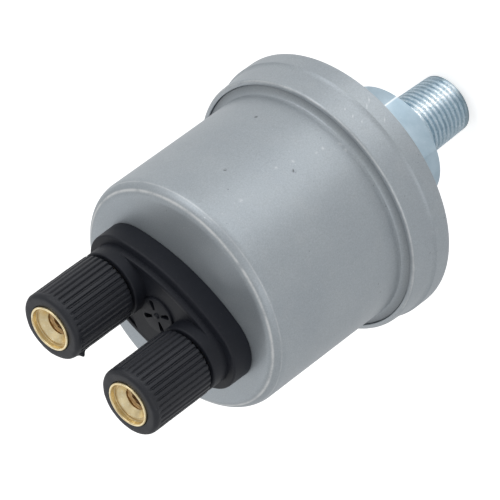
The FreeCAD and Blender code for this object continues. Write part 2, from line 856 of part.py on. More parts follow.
def make_card_holder():
    """Moulded stand: a column, a bar and two posts that hold the card by its ends."""
    body = new_body("card_holder")
    stand = sketch_on(body, "XZ_Plane", "stand_outline", "-holder_back")
    outline(stand, [
        ("holder_column_left", "deck_top"),
        ("card_right", "deck_top"),
        ("card_right", "card_top"),
        ("card_right - holder_post", "card_top"),
        ("card_right - holder_post", "bar_top"),
        ("card_left + holder_post", "bar_top"),
        ("card_left + holder_post", "card_top"),
        ("card_left", "card_top"),
        ("card_left", "bar_top - holder_bar"),
        ("holder_column_left", "bar_top - holder_bar"),
    ])
    pad(body, "stand", stand, "holder_wall")
    foot = sketch_on(body, "XY_Plane", "foot_outline", "deck_top")
    rectangle(
        foot, "holder_foot_left", "card_right", "card_back", "holder_back + holder_foot"
    )
    pad(body, "foot", foot, "holder_foot_wall")
    holes = sketch_on(body, "XY_Plane", "rivet_holes", "deck_top + holder_foot_wall")
    for x, y in rivet_places("holder"):
        circle(holes, x, y, "rivet_radius + fit_gap")
    pocket(body, "rivet_drilling", holes, "holder_foot_wall")
    return body


def make_resistor_card():
    body = new_body("resistor_card")
    card = sketch_on(body, "XZ_Plane", "card_outline", "-card_back")
    rectangle(card, "card_left", "card_right", "card_bottom", "card_top")
    pad(body, "card", card, "card_wall")
    return body


def make_resistance_winding():
    """Fine wire wound round the card, as the closed sleeve that its turns make."""
    body = new_body("resistance_winding")
    start = "card_left + winding_end"
    sleeve = sketch_on(body, "YZ_Plane", "sleeve_section", start)
    rectangle(
        sleeve,
        "card_front - winding_wall",
        "card_back + winding_wall",
        "card_bottom - winding_wall",
        "card_top + winding_wall",
    )
    rectangle(sleeve, "card_front", "card_back", "card_bottom", "card_top")
    pad(body, "sleeve", sleeve, "card_right - card_left - 2 * winding_end")
    return body


# Warning contact

def make_contact_insulator():
    body = new_body("contact_insulator")
    sheet = sketch_on(body, "XY_Plane", "sheet_outline", "deck_top")
    rectangle(
        sheet,
        "-(contact_upright + contact_foot + sheet_wall)",
        "-(contact_upright - sheet_wall)",
        "-(contact_half_width + sheet_wall / 2)",
        "contact_half_width + sheet_wall / 2",
    )
    pad(body, "sheet", sheet, "contact_pad_wall")
    holes = sketch_on(body, "XY_Plane", "rivet_holes", "contact_pad_top")
    for x, y in rivet_places("contact"):
        circle(holes, x, y, "rivet_radius + fit_gap")
    pocket(body, "rivet_drilling", holes, "contact_pad_wall")
    return body


def make_contact_bracket():
    """Bent brass angle that holds the adjusting screw of the warning contact."""
    body = new_body("contact_bracket")
    section = sketch_on(body, "XZ_Plane", "angle_section")
    outline(section, [
        ("-(contact_upright + contact_foot)", "contact_pad_top"),
        ("-(contact_upright - sheet_wall)", "contact_pad_top"),
        ("-(contact_upright - sheet_wall)", "contact_line + contact_top"),
        ("-contact_upright", "contact_line + contact_top"),
        ("-contact_upright", "contact_pad_top + sheet_wall"),
        ("-(contact_upright + contact_foot)", "contact_pad_top + sheet_wall"),
    ])
    pad(body, "angle", section, "2 * contact_half_width", midplane=True)
    hole = sketch_on(body, "YZ_Plane", "screw_hole", "-contact_upright")
    circle(hole, "0", "contact_line", "screw_radius + fit_gap")
    pocket(body, "screw_drilling", hole, "sheet_wall", reverse=True)
    holes = sketch_on(body, "XY_Plane", "rivet_holes", "contact_pad_top + sheet_wall")
    for x, y in rivet_places("contact"):
        circle(holes, x, y, "rivet_radius + fit_gap")
    pocket(body, "rivet_drilling", holes, "sheet_wall")
    return body


def make_contact_screw():
    """Adjusting screw; the contact tip on its end meets the lever's button."""
    body = new_body("contact_screw")
    head_back = "-(contact_upright + screw_head_height)"
    spans = [
        ("head", head_back, "screw_head_height", "screw_head_radius"),
        (
            "shank",
            "-contact_upright",
            "contact_upright + button_face - running_gap - screw_tip_length",
            "screw_radius",
        ),
        (
            "tip",
            "button_face - running_gap - screw_tip_length",
            "screw_tip_length",
            "screw_tip_radius",
        ),
    ]
    for name, start, length, radius in spans:
        section = sketch_on(body, "YZ_Plane", name + "_section", start)
        circle(section, "0", "contact_line", radius)
        pad(body, name, section, length)
    slot = sketch_on(body, "YZ_Plane", "slot_outline", head_back)
    rectangle(
        slot,
        "-(screw_head_radius + 1)",
        "screw_head_radius + 1",
        "contact_line - screw_slot / 2",
        "contact_line + screw_slot / 2",
    )
    pocket(body, "slot", slot, "screw_head_height / 2", reverse=True)
    return body


# Leads

def bent_path(points, bend):
    """Straight runs through the points, joined by tangent arcs of one radius."""
    edges = []
    start = points[0]
    for i in range(1, len(points) - 1):
        corner = points[i]
        back = (points[i - 1] - corner).normalize()
        ahead = (points[i + 1] - corner).normalize()
        half = back.getAngle(ahead) / 2
        reach = bend / math.tan(half)
        first = corner + back * reach
        last = corner + ahead * reach
        centre = corner + (back + ahead).normalize() * (bend / math.sin(half))
        middle = centre + (corner - centre).normalize() * bend
        edges.append(Part.LineSegment(start, first).toShape())
        edges.append(Part.Arc(first, middle, last).toShape())
        start = last
    edges.append(Part.LineSegment(start, points[-1]).toShape())
    return Part.Wire(edges)


def make_lead(label, places):
    """Tinned wire swept along its bent path; no primitive has this form."""
    points = [Vector(number(x), number(y), number(z)) for x, y, z in places]
    path = bent_path(points, number("lead_bend"))
    direction = points[1] - points[0]
    section = Part.Wire(Part.Circle(points[0], direction, number("lead_radius")).toShape())
    lead = DOC.addObject("Part::Feature", label)
    lead.Label = label
    lead.Shape = path.makePipeShell([section], True, False)
    return lead


def make_leads():
    tail = "(tag_tail_length - tag_tail_width / 2)"
    card_end = "card_right - winding_end / 2"
    card_middle = "(card_front + card_back) / 2"
    bracket_middle = "-(contact_upright - sheet_wall / 2)"
    bracket_top = "contact_line + contact_top"
    signal = make_lead("signal_lead", [
        (card_end, card_middle, "card_top"),
        (card_end, card_middle, "card_top + 2.2"),
        ("stud_offset", tail, "tag_bottom - 2"),
        ("stud_offset", tail, "tag_bottom"),
    ])
    warning = make_lead("warning_lead", [
        (bracket_middle, "0", bracket_top),
        (bracket_middle, "0", f"{bracket_top} + 3"),
        ("-stud_offset", f"-{tail}", "tag_bottom - 3"),
        ("-stud_offset", f"-{tail}", "tag_bottom"),
    ])
    return [signal, warning]


# Housing

def make_housing_can():
    """Deep-drawn can with a rounded end; its flange sits under the cup's rolled lip."""
    body = new_body("housing_can")
    revolve(body, "drawn_can", [
        ("0", "can_top"),
        ("can_radius", "can_top"),
        ("can_radius", "flange_top"),
        ("clamp_radius", "flange_top"),
        ("clamp_radius", "plate_top"),
        ("can_inner_radius", "plate_top"),
        ("can_inner_radius", "can_inside_top"),
        ("0", "can_inside_top"),
    ])
    dress_edges(body, "Fillet", "end_round", "can_end_round", "can_radius", "can_top")
    inner_round = "can_end_round - can_wall"
    dress_edges(body, "Fillet", "end_round_inside", inner_round, "can_inner_radius", "can_inside_top")
    dress_edges(body, "Fillet", "foot_round", "can_foot_round", "can_radius", "flange_top")
    holes = sketch_on(body, "XY_Plane", "stud_holes", "can_top")
    for x in ("stud_offset", "-stud_offset"):
        circle(holes, x, "0", "base_spigot_radius + fit_gap")
    pocket(body, "stud_piercing", holes, "can_wall")
    return body


def make_inner_insulator():
    """Hard insulating disc inside the can's end, with a hole for each stud."""
    body = new_body("inner_insulator")
    disc = sketch_on(body, "XY_Plane", "disc_outline", "insulator_bottom")
    circle(disc, "0", "0", "insulator_radius")
    for x in ("stud_offset", "-stud_offset"):
        circle(disc, x, "0", "stud_hole_radius")
    pad(body, "disc", disc, "insulator_thickness")
    return body


def make_contact_tag(label, side):
    """Solder tag clamped under a stud's head, with a tail for its lead."""
    body = new_body(label, x=f"{side} * stud_offset", z="tag_bottom")
    ring = sketch_on(body, "XY_Plane", "ring_outline")
    circle(ring, "0", "0", "tag_radius")
    pad(body, "ring", ring, "tag_thickness")
    tail = sketch_on(body, "XY_Plane", "tail_outline")
    far = f"{side} * tag_tail_length"
    rectangle(tail, "-tag_tail_width / 2", "tag_tail_width / 2", "0", far)
    pad(body, "tail", tail, "tag_thickness")
    hole = sketch_on(body, "XY_Plane", "stud_hole", "tag_thickness")
    circle(hole, "0", "0", "stud_hole_radius")
    pocket(body, "stud_piercing", hole, "tag_thickness")
    return body


def make_stud(label, side):
    """Terminal stud, headed inside the can. Its thread is drawn at the pitch diameter."""
    body = new_body(label, x=f"{side} * stud_offset")
    revolve(body, "stud", [
        ("0", "stud_head_bottom"),
        ("stud_head_radius", "stud_head_bottom"),
        ("stud_head_radius", "tag_bottom"),
        ("stud_radius", "tag_bottom"),
        ("stud_radius", "stud_nut_bottom"),
        ("stud_pitch_radius", "stud_nut_bottom"),
        ("stud_pitch_radius", "stud_top - stud_end_chamfer"),
        ("stud_pitch_radius - stud_end_chamfer", "stud_top"),
        ("0", "stud_top"),
    ])
    return body


# Terminal base

def make_base_gasket():
    """Flat seal in the terminal base's underside."""
    body = new_body("base_gasket", z="can_top")
    flat = sketch_on(body, "XY_Plane", "gasket_outline")
    oval(flat, "base_gasket_inset + fit_gap")
    for x in ("stud_offset", "-stud_offset"):
        circle(flat, x, "0", "base_spigot_radius + fit_gap")
    pad(body, "gasket", flat, "base_gasket_thickness")
    return body


def make_terminal_base():
    """Oval moulding: a drafted flange, a low rim, a trough, the hub and two bosses."""
    body = new_body("terminal_base", z="can_top")
    foot = sketch_on(body, "XY_Plane", "foot_outline")
    oval(foot, "0")
    shelf = sketch_on(body, "XY_Plane", "shelf_outline", "base_flange_height")
    oval(shelf, "base_draft")
    flange = feature(body, "AdditiveLoft", "drafted_flange", foot)
    flange.Sections = [shelf]
    flange.Ruled = True
    DOC.recompute()
    rim = sketch_on(body, "XY_Plane", "rim_outline", "base_flange_height")
    oval(rim, "rim_offset")
    pad(body, "rim", rim, "rim_height")
    trough = sketch_on(body, "XY_Plane", "trough_outline", "rim_top")
    oval(trough, "rim_inner_offset")
    pocket(body, "trough", trough, "trough_depth")
    bosses = sketch_on(body, "XY_Plane", "boss_outlines", "trough_floor")
    for x in ("stud_offset", "-stud_offset"):
        circle(bosses, x, "0", "boss_radius")
    pad(body, "bosses", bosses, "boss_height - trough_floor")
    add_hub(body)
    recess = sketch_on(body, "XY_Plane", "gasket_recess_outline")
    oval(recess, "base_gasket_inset")
    pocket(body, "gasket_recess", recess, "base_gasket_thickness", reverse=True)
    spigots = sketch_on(body, "XY_Plane", "spigot_outlines", "-can_wall")
    for x in ("stud_offset", "-stud_offset"):
        circle(spigots, x, "0", "base_spigot_radius")
    pad(body, "spigots", spigots, "can_wall + base_gasket_thickness")
    recesses = sketch_on(body, "XY_Plane", "nut_recess_outlines", "boss_height")
    for x in ("stud_offset", "-stud_offset"):
        circle(recesses, x, "0", "nut_recess_radius")
    pocket(body, "nut_recesses", recesses, "nut_recess_depth")
    holes = sketch_on(body, "XY_Plane", "stud_hole_outlines", "nut_recess_floor")
    for x in ("stud_offset", "-stud_offset"):
        circle(holes, x, "0", "stud_hole_radius")
    pocket(body, "stud_holes", holes, "nut_recess_floor + can_wall")
    dress_edges(body, "Chamfer", "boss_edges", "boss_edge_break", "boss_radius", "boss_height")
    return body


def add_hub(body):
    """The hub between the bosses has a pip at its centre and four slots in a cross."""
    hub = sketch_on(body, "XY_Plane", "hub_outline", "trough_floor")
    circle(hub, "0", "0", "hub_radius")
    pad(body, "hub", hub, "hub_height")
    slot = sketch_on(body, "XY_Plane", "hub_slot_outline", "hub_top")
    half = "hub_slot_width / 2"
    corners = [
        ("hub_slot_near", f"-{half}"),
        ("hub_slot_far", f"-{half}"),
        ("hub_slot_far", half),
        ("hub_slot_near", half),
    ]
    turned = []
    for along, across in corners:
        x = f"({along}) * cos(45) - ({across}) * sin(45)"
        y = f"({along}) * sin(45) + ({across}) * cos(45)"
        turned.append((x, y))
    outline(slot, turned)
    cut = pocket(body, "hub_slot", slot, "hub_slot_depth")
    repeat_round(body, "hub_slots", cut, slot, "4")
    pip = sketch_on(body, "XY_Plane", "pip_outline", "hub_top")
    circle(pip, "0", "0", "pip_radius")
    pad(body, "pip", pip, "pip_height")


def make_stud_nut(label, side):
    """Thin hexagon nut that clamps the stud, sunk in the boss."""
    body = new_body(label, x=f"{side} * stud_offset", z="stud_nut_bottom")
    section = sketch_on(body, "XY_Plane", "hexagon")
    corner = "stud_nut_flats / (2 * cos(30))"
    hexagon(section, f"({corner})", "0")
    pad(body, "hexagon_bar", section, "stud_nut_height")
    edge = "stud_nut_flats / 2"
    groove(body, "crown", [
        (edge, "stud_nut_height"),
        (f"{corner} + 1", "stud_nut_height"),
        (f"{corner} + 1", f"stud_nut_height - ({corner} + 1 - {edge}) * tan(30)"),
    ])
    hole = sketch_on(body, "XY_Plane", "thread_hole", "stud_nut_height")
    circle(hole, "0", "0", "stud_pitch_radius + fit_gap")
    pocket(body, "thread", hole, "stud_nut_height")
    return body


def make_nut_insert(label, side):
    """Turned brass insert; its thread is drawn at the pitch diameter."""
    body = new_body(label, x=f"{side} * stud_offset", z="insert_bottom")
    mouth = "(insert_length - insert_mouth_depth)"
    revolve(body, "insert", [
        ("thread_bore_radius", "0"),
        ("insert_radius", "0"),
        ("insert_radius", "insert_length"),
        ("insert_mouth_radius", "insert_length"),
        ("insert_mouth_radius - 0.15", mouth),
        ("insert_step_radius", mouth),
        ("thread_bore_radius", f"{mouth} - insert_cone_depth"),
    ])
    return body


def make_nut_cap(label, side):
    """Moulded cap of the thumb nut, with straight ribs round its grip."""
    body = new_body(label, x=f"{side} * stud_offset", z="cap_bottom")
    revolve(body, "barrel", [
        ("cap_bore_radius", "0"),
        ("cap_radius - cap_foot_chamfer", "0"),
        ("cap_radius", "cap_foot_chamfer"),
        ("cap_radius", "cap_length"),
        ("cap_bore_radius", "cap_length"),
    ])
    dress_edges(body, "Fillet", "end_round", "cap_end_round", "cap_radius", "cap_length")
    gap = sketch_on(body, "XY_Plane", "rib_gap_outline")
    turn = "(rib_phase + 180 / rib_count)"
    corners = [
        ("cap_radius - rib_depth", "-rib_gap_floor / 2"),
        ("cap_radius + rib_depth", "-(rib_gap - rib_gap_floor / 2)"),
        ("cap_radius + rib_depth", "rib_gap - rib_gap_floor / 2"),
        ("cap_radius - rib_depth", "rib_gap_floor / 2"),
    ]
    turned = []
    for along, across in corners:
        x = f"({along}) * cos{turn} - ({across}) * sin{turn}"
        y = f"({along}) * sin{turn} + ({across}) * cos{turn}"
        turned.append((x, y))
    outline(gap, turned)
    cut = pocket(body, "rib_gap", gap, "cap_length - rib_stop", reverse=True)
    repeat_round(body, "grip_ribs", cut, gap, "rib_count")
    return body


# Assembly and export

def make_parts():
    parts = [
        make_port_fitting(),
        make_pressure_cup(),
        make_diaphragm_gasket(),
        make_diaphragm(),
        make_mechanism_plate(),
        make_lever_bracket(),
        make_rivets("bracket_rivets", rivet_places("bracket"), "deck_top + sheet_wall"),
        make_push_pin(),
        make_return_spring(),
        make_pivot_pin(),
        make_wiper_lever(),
        make_wiper_blade(),
        make_wiper_rivet(),
        make_moving_contact(),
        make_card_holder(),
        make_rivets("holder_rivets", rivet_places("holder"), "deck_top + holder_foot_wall"),
        make_resistor_card(),
        make_resistance_winding(),
        make_contact_insulator(),
        make_contact_bracket(),
        make_rivets("contact_rivets", rivet_places("contact"), "contact_pad_top + sheet_wall"),
        make_contact_screw(),
        make_inner_insulator(),
        make_housing_can(),
        make_base_gasket(),
        make_terminal_base(),
    ]
    parts += make_leads()
    for index, side in ((1, "-1"), (2, "1")):
        parts.append(make_contact_tag(f"contact_tag_{index}", side))
        parts.append(make_stud(f"stud_{index}", side))
        parts.append(make_stud_nut(f"stud_nut_{index}", side))
        parts.append(make_nut_insert(f"nut_insert_{index}", side))
        parts.append(make_nut_cap(f"nut_cap_{index}", side))
    return parts


def check_document():
    """A failed object raises nothing by itself, so each one's state is read."""
    for item in DOC.Objects:
        if "Invalid" in item.State or "Error" in item.State:
            raise ValueError(f"{item.Label} failed: {item.State}")


def export(parts):
    for part in parts:
        shape = part.Shape
        if shape.isNull() or not shape.isValid():
            raise ValueError(f"{part.Label} has no valid shape")
        print(part.Label, len(shape.Solids), "solid,", round(shape.Volume, 2), "mm3")
    os.makedirs("parts", exist_ok=True)
    for part in parts:
        part.Shape.exportStep(f"parts/{part.Label}.step")


PARTS = make_parts()
DOC.recompute()
check_document()
export(PARTS)
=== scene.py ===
import json
import math

import bmesh
import bpy
from mathutils import Matrix, Vector, noise


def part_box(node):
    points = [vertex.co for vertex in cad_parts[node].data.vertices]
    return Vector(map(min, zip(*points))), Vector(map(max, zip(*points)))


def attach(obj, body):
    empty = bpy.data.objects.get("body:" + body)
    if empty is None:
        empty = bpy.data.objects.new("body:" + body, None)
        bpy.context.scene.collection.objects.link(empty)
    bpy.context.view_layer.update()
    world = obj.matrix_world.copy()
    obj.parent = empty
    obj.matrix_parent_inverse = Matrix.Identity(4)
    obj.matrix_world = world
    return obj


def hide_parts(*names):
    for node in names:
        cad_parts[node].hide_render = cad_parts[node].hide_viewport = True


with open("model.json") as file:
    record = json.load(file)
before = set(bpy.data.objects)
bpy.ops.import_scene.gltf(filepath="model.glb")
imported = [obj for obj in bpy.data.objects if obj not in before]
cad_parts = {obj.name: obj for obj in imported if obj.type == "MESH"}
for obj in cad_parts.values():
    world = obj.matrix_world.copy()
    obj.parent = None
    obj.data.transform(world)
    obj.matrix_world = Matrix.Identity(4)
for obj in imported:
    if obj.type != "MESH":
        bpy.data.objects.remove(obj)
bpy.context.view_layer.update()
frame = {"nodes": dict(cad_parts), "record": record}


# The camera. It looks down on the terminals from behind them, about two thirds of a metre
# away, and is rolled so that the sender lies aslant with its thread to the upper right.
mm = 0.001
camera_place = Vector((170.3, 515.5, 384.3)) * mm
camera_aim = Vector((0.304, -0.100, 32.129)) * mm
camera_up = Vector((-0.66269, 0.55895, -0.49842))
focal_length_pixels = 4385.5
picture_pixels = 500

scene = bpy.context.scene
camera_data = bpy.data.cameras.new("camera")
camera_data.sensor_width = 36.0
camera_data.lens = focal_length_pixels * camera_data.sensor_width / picture_pixels
camera_data.clip_start = 0.01
camera = bpy.data.objects.new("camera", camera_data)
scene.collection.objects.link(camera)
backward = (camera_place - camera_aim).normalized()
sideways = camera_up.cross(backward).normalized()
upward = backward.cross(sideways)
turned = Matrix((sideways, upward, backward)).transposed().to_4x4()
camera.matrix_world = Matrix.Translation(camera_place) @ turned
scene.camera = camera
scene.view_settings.view_transform = "Standard"


# The floor and the light. A plain pale floor lies just below the thread's end and looks
# white but for the sender's shadow; the room is softly lit and three large soft lamps
# stand in it. Metal also mirrors a brighter strip and a brighter side of the floor.
class Socket:
    """One output in a node tree; arithmetic on it adds Math nodes."""

    def __init__(self, tree, output):
        self.tree = tree
        self.output = output

    def math(self, operation, *values, clamp=False):
        settings = {"operation": operation, "use_clamp": clamp}
        return self.tree.add("ShaderNodeMath", settings, *values)

    def __add__(self, other):
        return self.math("ADD", self, other)

    def __sub__(self, other):
        return self.math("SUBTRACT", self, other)

    def __rsub__(self, other):
        return self.math("SUBTRACT", other, self)

    def __mul__(self, other):
        return self.math("MULTIPLY", self, other)

    def __truediv__(self, other):
        return self.math("DIVIDE", self, other)

    def __gt__(self, other):
        return self.math("GREATER_THAN", self, other)

    def __lt__(self, other):
        return self.math("LESS_THAN", self, other)

    def __neg__(self):
        return self.math("MULTIPLY", self, -1.0)

    def __abs__(self):
        return self.math("ABSOLUTE", self)

    __radd__ = __add__
    __rmul__ = __mul__

    def root(self):
        return self.math("SQRT", self)

    def fraction(self):
        return self.math("FRACT", self)

    def clamped(self):
        return self.math("ADD", self, 0.0, clamp=True)

    def rising(self, low, high):
        """0 up to the low value, 1 from the high value on."""
        return ((self - low) / (high - low)).clamped()

    def near(self, middle, reach):
        """1 at the middle value, falling to 0 at this reach from it."""
        return (1 - abs(self - middle) / reach).clamped()


class Tree:
    """A node tree being built, for a material, the room or a geometry modifier."""

    def __init__(self, tree):
        self.tree = tree

    def add(self, kind, settings=None, *values, output=0, **named):
        """Add a node: its settings first, then the values or links of its sockets."""
        made = self.tree.nodes.new(kind)
        for name, value in (settings or {}).items():
            setattr(made, name, value)
        for key, value in [*enumerate(values), *named.items()]:
            slot = made.inputs[key.replace("_", " ") if isinstance(key, str) else key]
            if isinstance(value, Socket):
                self.tree.links.new(value.output, slot)
            else:
                slot.default_value = value
        return Socket(self, made.outputs[output])

    def feed(self, made, **named):
        """Link sockets to the inputs of a node that is there already."""
        for name, value in named.items():
            self.tree.links.new(value.output, made.inputs[name.replace("_", " ")])


class Finish(Tree):
    """A material being built: its shader, the piece's own coordinates and its noises."""

    def __init__(self, name, **uniform):
        self.material = bpy.data.materials.new(name)
        self.material.use_nodes = True
        super().__init__(self.material.node_tree)
        self.shader = self.tree.nodes["Principled BSDF"]
        for socket_name, value in uniform.items():
            self.shader.inputs[socket_name.replace("_", " ")].default_value = value
        self.place = self.add("ShaderNodeTexCoord", output="Object")

    def cells(self, size_mm, stretch, seed):
        """The piece's coordinates, scaled so that this size is one unit."""
        scale = tuple(share / (size_mm * mm) for share in stretch)
        shift = (seed * 7.3, seed * 3.1, seed * 5.9)
        return self.add("ShaderNodeMapping", {}, self.place, Location=shift, Scale=scale)

    def noise(self, lump_mm, detail=2.0, roughness=0.5, stretch=(1, 1, 1), seed=0):
        """A noise with lumps this wide; a stretch under 1 lengthens them on that axis."""
        cells = self.cells(lump_mm, stretch, seed)
        sizes = {"Scale": 1.0, "Detail": detail, "Roughness": roughness}
        return self.add("ShaderNodeTexNoise", {}, cells, **sizes)

    def specks(self, spacing_mm, share, seed=0):
        """Small round spots, one in each cell of this spacing, 1 at their middle."""
        cells = self.cells(spacing_mm, (1, 1, 1), seed)
        distance = self.add("ShaderNodeTexVoronoi", {}, cells, Scale=1.0)
        return (1 - distance / share).clamped()

    def spot(self, place_mm, reach_mm):
        """1 at a place of the piece, falling to 0 at this reach from it."""
        place = tuple(Vector(place_mm) * mm)
        settings = {"operation": "DISTANCE"}
        apart = self.add("ShaderNodeVectorMath", settings, self.place, place, output="Value")
        return (1 - apart / (reach_mm * mm)).clamped()

    def axis(self, letter):
        """One of the piece's own coordinates, in millimetres."""
        return self.add("ShaderNodeSeparateXYZ", {}, self.place, output=letter) / mm

    def radius(self, centre_x=0.0):
        """The distance from an upright axis, in millimetres."""
        x = self.axis("X") - centre_x
        y = self.axis("Y")
        return (x * x + y * y).root()

    def mix(self, factor, low, high):
        """A colour between two others."""
        made = self.tree.nodes.new("ShaderNodeMix")
        made.data_type = "RGBA"
        for name, value in {"Factor_Float": factor, "A_Color": low, "B_Color": high}.items():
            slot = next(s for s in made.inputs if s.identifier == name)
            if isinstance(value, Socket):
                self.tree.links.new(value.output, slot)
            elif isinstance(value, tuple):
                slot.default_value = (*value, 1.0)
            else:
                slot.default_value = value
        return Socket(self, next(s for s in made.outputs if s.identifier == "Result_Color"))

    def look(self, colour, roughness, height=None, depth_mm=0.01):
        """Feed the shader; a height from 0 to 1 raises the surface by this depth."""
        self.feed(self.shader, Base_Color=colour, Roughness=roughness)
        if height is not None:
            bump = self.add("ShaderNodeBump", Height=height, Distance=depth_mm * mm)
            self.feed(self.shader, Normal=bump)
        return self.material


floor_height = -14.0 * mm
floor_half_width = 3.0
floor_colour = (0.82, 0.82, 0.82, 1.0)
floor_shown = 0.60
floor_mirrored = 0.12
bright_side, side_reach = 0.14, (-0.7, 0.8)
bright_strip, strip_reach = 2.0, (0.91, 1.0)
strip_turn = math.radians(100)
room_light = 0.62

floor_mesh = bpy.data.meshes.new("floor")
floor_corners = [(-1, -1), (1, -1), (1, 1), (-1, 1)]
floor_mesh.from_pydata(
    [(x * floor_half_width, y * floor_half_width, floor_height) for x, y in floor_corners],
    [],
    [(0, 1, 2, 3)],
)
floor = bpy.data.objects.new("floor", floor_mesh)
scene.collection.objects.link(floor)

pale = Finish("pale_floor", Roughness=0.9, Base_Color=floor_colour, Emission_Strength=1.0)
seen = pale.add("ShaderNodeLightPath", output="Is Camera Ray")
mirrored = pale.add("ShaderNodeLightPath", output="Is Glossy Ray")
from_middle = pale.radius()
leftward = -pale.axis("X") / from_middle
along_strip = pale.axis("Y") / from_middle * math.sin(strip_turn)
along_strip = along_strip + pale.axis("X") / from_middle * math.cos(strip_turn)
strip = along_strip.rising(*strip_reach) * bright_strip
reflected = strip + leftward.rising(*side_reach) * bright_side + floor_mirrored
glow = seen * floor_shown + mirrored * reflected
pale.feed(pale.shader, Emission_Color=pale.mix(glow, (0.0, 0.0, 0.0), (1.0, 1.0, 1.0)))
floor_mesh.materials.append(pale.material)

room = bpy.data.worlds.new("soft_room")
room.use_nodes = True
scene.world = room
room_tree = Tree(room.node_tree)
room_seen = room_tree.add("ShaderNodeLightPath", output="Is Camera Ray")
background = room.node_tree.nodes["Background"]
background.inputs["Color"].default_value = (1.0, 1.0, 1.0, 1.0)
room_tree.feed(background, Strength=room_seen * (1 - room_light) + room_light)


def add_lamp(name, place_mm, size_mm, watts):
    """A soft square lamp that faces the sender's middle."""
    data = bpy.data.lights.new(name, "AREA")
    data.size = size_mm * mm
    data.energy = watts
    lamp = bpy.data.objects.new(name, data)
    lamp.location = Vector(place_mm) * mm
    aim = Vector((0, 0, 30 * mm)) - lamp.location
    lamp.rotation_mode = "QUATERNION"
    lamp.rotation_quaternion = aim.to_track_quat("-Z", "Y")
    scene.collection.objects.link(lamp)


add_lamp("key_lamp", (-380, 460, 300), 420, 1.1)
add_lamp("fill_lamp", (460, 300, 380), 420, 0.5)
add_lamp("back_lamp", (-190, -560, 400), 520, 0.45)


# The port fitting: a round collar with 17 mm spanner flats and a tapered pipe thread,
# turned from one steel bar, bluish zinc plated, drilled through and staked in the cup.
def level(radius, height):
    """A plain round ring of a turned piece, at this radius and height."""
    return lambda turn: (radius, height)


def rounding(radius, centre_radius, centre_height, start, finish, steps=6):
    """Rings along an arc of the section, from one angle in degrees to another."""
    rings = []
    for i in range(steps + 1):
        angle = math.radians(start + (finish - start) * i / steps)
        along = centre_radius + radius * math.cos(angle)
        rings.append(level(along, centre_height + radius * math.sin(angle)))
    return rings


def straight(first, last, steps):
    """Rings between two places of the section, without the two ends."""
    rings = []
    for i in range(1, steps):
        share = i / steps
        radius = first[0] + (last[0] - first[0]) * share
        rings.append(level(radius, first[1] + (last[1] - first[1]) * share))
    return rings


def even_turns(count):
    return [2 * math.pi * i / count for i in range(count)]


def skinned_mesh(name, rows, bored=False):
    """A closed skin through rows of equally many places, given in millimetres.

    The last row of a bored piece meets the first; the end rows of another one are filled.
    """
    built = bmesh.new()
    rows = [[built.verts.new(Vector(place) * mm) for place in row] for row in rows]
    if not bored:
        built.faces.new(rows[0])
        built.faces.new(rows[-1])
    for i in range(len(rows) if bored else len(rows) - 1):
        row, following = rows[i], rows[(i + 1) % len(rows)]
        for j in range(len(row)):
            k = (j + 1) % len(row)
            built.faces.new((row[j], row[k], following[k], following[j]))
    bmesh.ops.recalc_face_normals(built, faces=built.faces)
    data = bpy.data.meshes.new(name)
    built.to_mesh(data)
    built.free()
    return data


def turned_mesh(name, rings, turns, centre_x=0.0, bored=True):
    """A closed skin through rings about an upright axis.

    A ring is a function of the turn that gives a radius and a height in millimetres.
    """
    rows = []
    for ring in rings:
        row = []
        for turn in turns:
            radius, height = ring(turn)
            row.append((centre_x + radius * math.cos(turn), radius * math.sin(turn), height))
        rows.append(row)
    return skinned_mesh(name, rows, bored)


def place_piece(name, data, material):
    """Put a mesh in the scene as a piece of its own."""
    data.materials.append(material)
    piece = bpy.data.objects.new(name, data)
    scene.collection.objects.link(piece)
    return piece


def evaluated_mesh(piece):
    """The mesh that the piece's modifiers make, with the modifiers taken off again."""
    bpy.context.view_layer.update()
    evaluated = piece.evaluated_get(bpy.context.evaluated_depsgraph_get())
    data = bpy.data.meshes.new_from_object(evaluated)
    piece.modifiers.clear()
    return data


def hold(piece, body, slot, *replaced, sharp_degrees=35):
    """Smooth a finished piece and hand it to the frame in place of its plain solids."""
    piece.data.shade_smooth()
    piece.data.set_sharp_from_angle(angle=math.radians(sharp_degrees))
    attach(piece, body)
    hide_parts(*replaced)


class Shaper(Tree):
    """A geometry tree being built, with its sizes in millimetres as named inputs."""

    def __init__(self, name, **sizes):
        group = bpy.data.node_groups.new(name, "GeometryNodeTree")
        super().__init__(group)
        sockets = group.interface
        sockets.new_socket("Geometry", in_out="INPUT", socket_type="NodeSocketGeometry")
        for label, value in sizes.items():
            label = label.replace("_", " ")
            made = sockets.new_socket(label, in_out="INPUT", socket_type="NodeSocketFloat")
            made.default_value = value
        sockets.new_socket("Material", in_out="INPUT", socket_type="NodeSocketMaterial")
        sockets.new_socket("Geometry", in_out="OUTPUT", socket_type="NodeSocketGeometry")
        self.given = group.nodes.new("NodeGroupInput")
        self.returned = group.nodes.new("NodeGroupOutput")
        place = self.add("GeometryNodeInputPosition")
        axes = [self.add("ShaderNodeSeparateXYZ", {}, place, output=i) / mm for i in range(3)]
        self.x = axes[0] - self.size("Centre X")
        self.y, self.z = axes[1:]
        self.radius = (self.x * self.x + self.y * self.y).root()
        self.turn = self.x.math("ARCTAN2", self.y, self.x) / (2 * math.pi)

    def size(self, name):
        return Socket(self, self.given.outputs[name])

    def sink(self, depth):
        """Move the surface towards the upright axis by a depth, and end the tree."""
        share = depth * -mm / self.radius
        offset = self.add("ShaderNodeCombineXYZ", {}, self.x * share, self.y * share, 0.0)
        skin = self.size("Geometry")
        moved = self.add("GeometryNodeSetPosition", Geometry=skin, Offset=offset)
        real = self.add("GeometryNodeRealizeInstances", {}, moved)
        material = self.size("Material")
        dressed = self.add("GeometryNodeSetMaterial", Geometry=real, Material=material)
        self.tree.links.new(dressed.output, self.returned.inputs["Geometry"])
        return self.tree


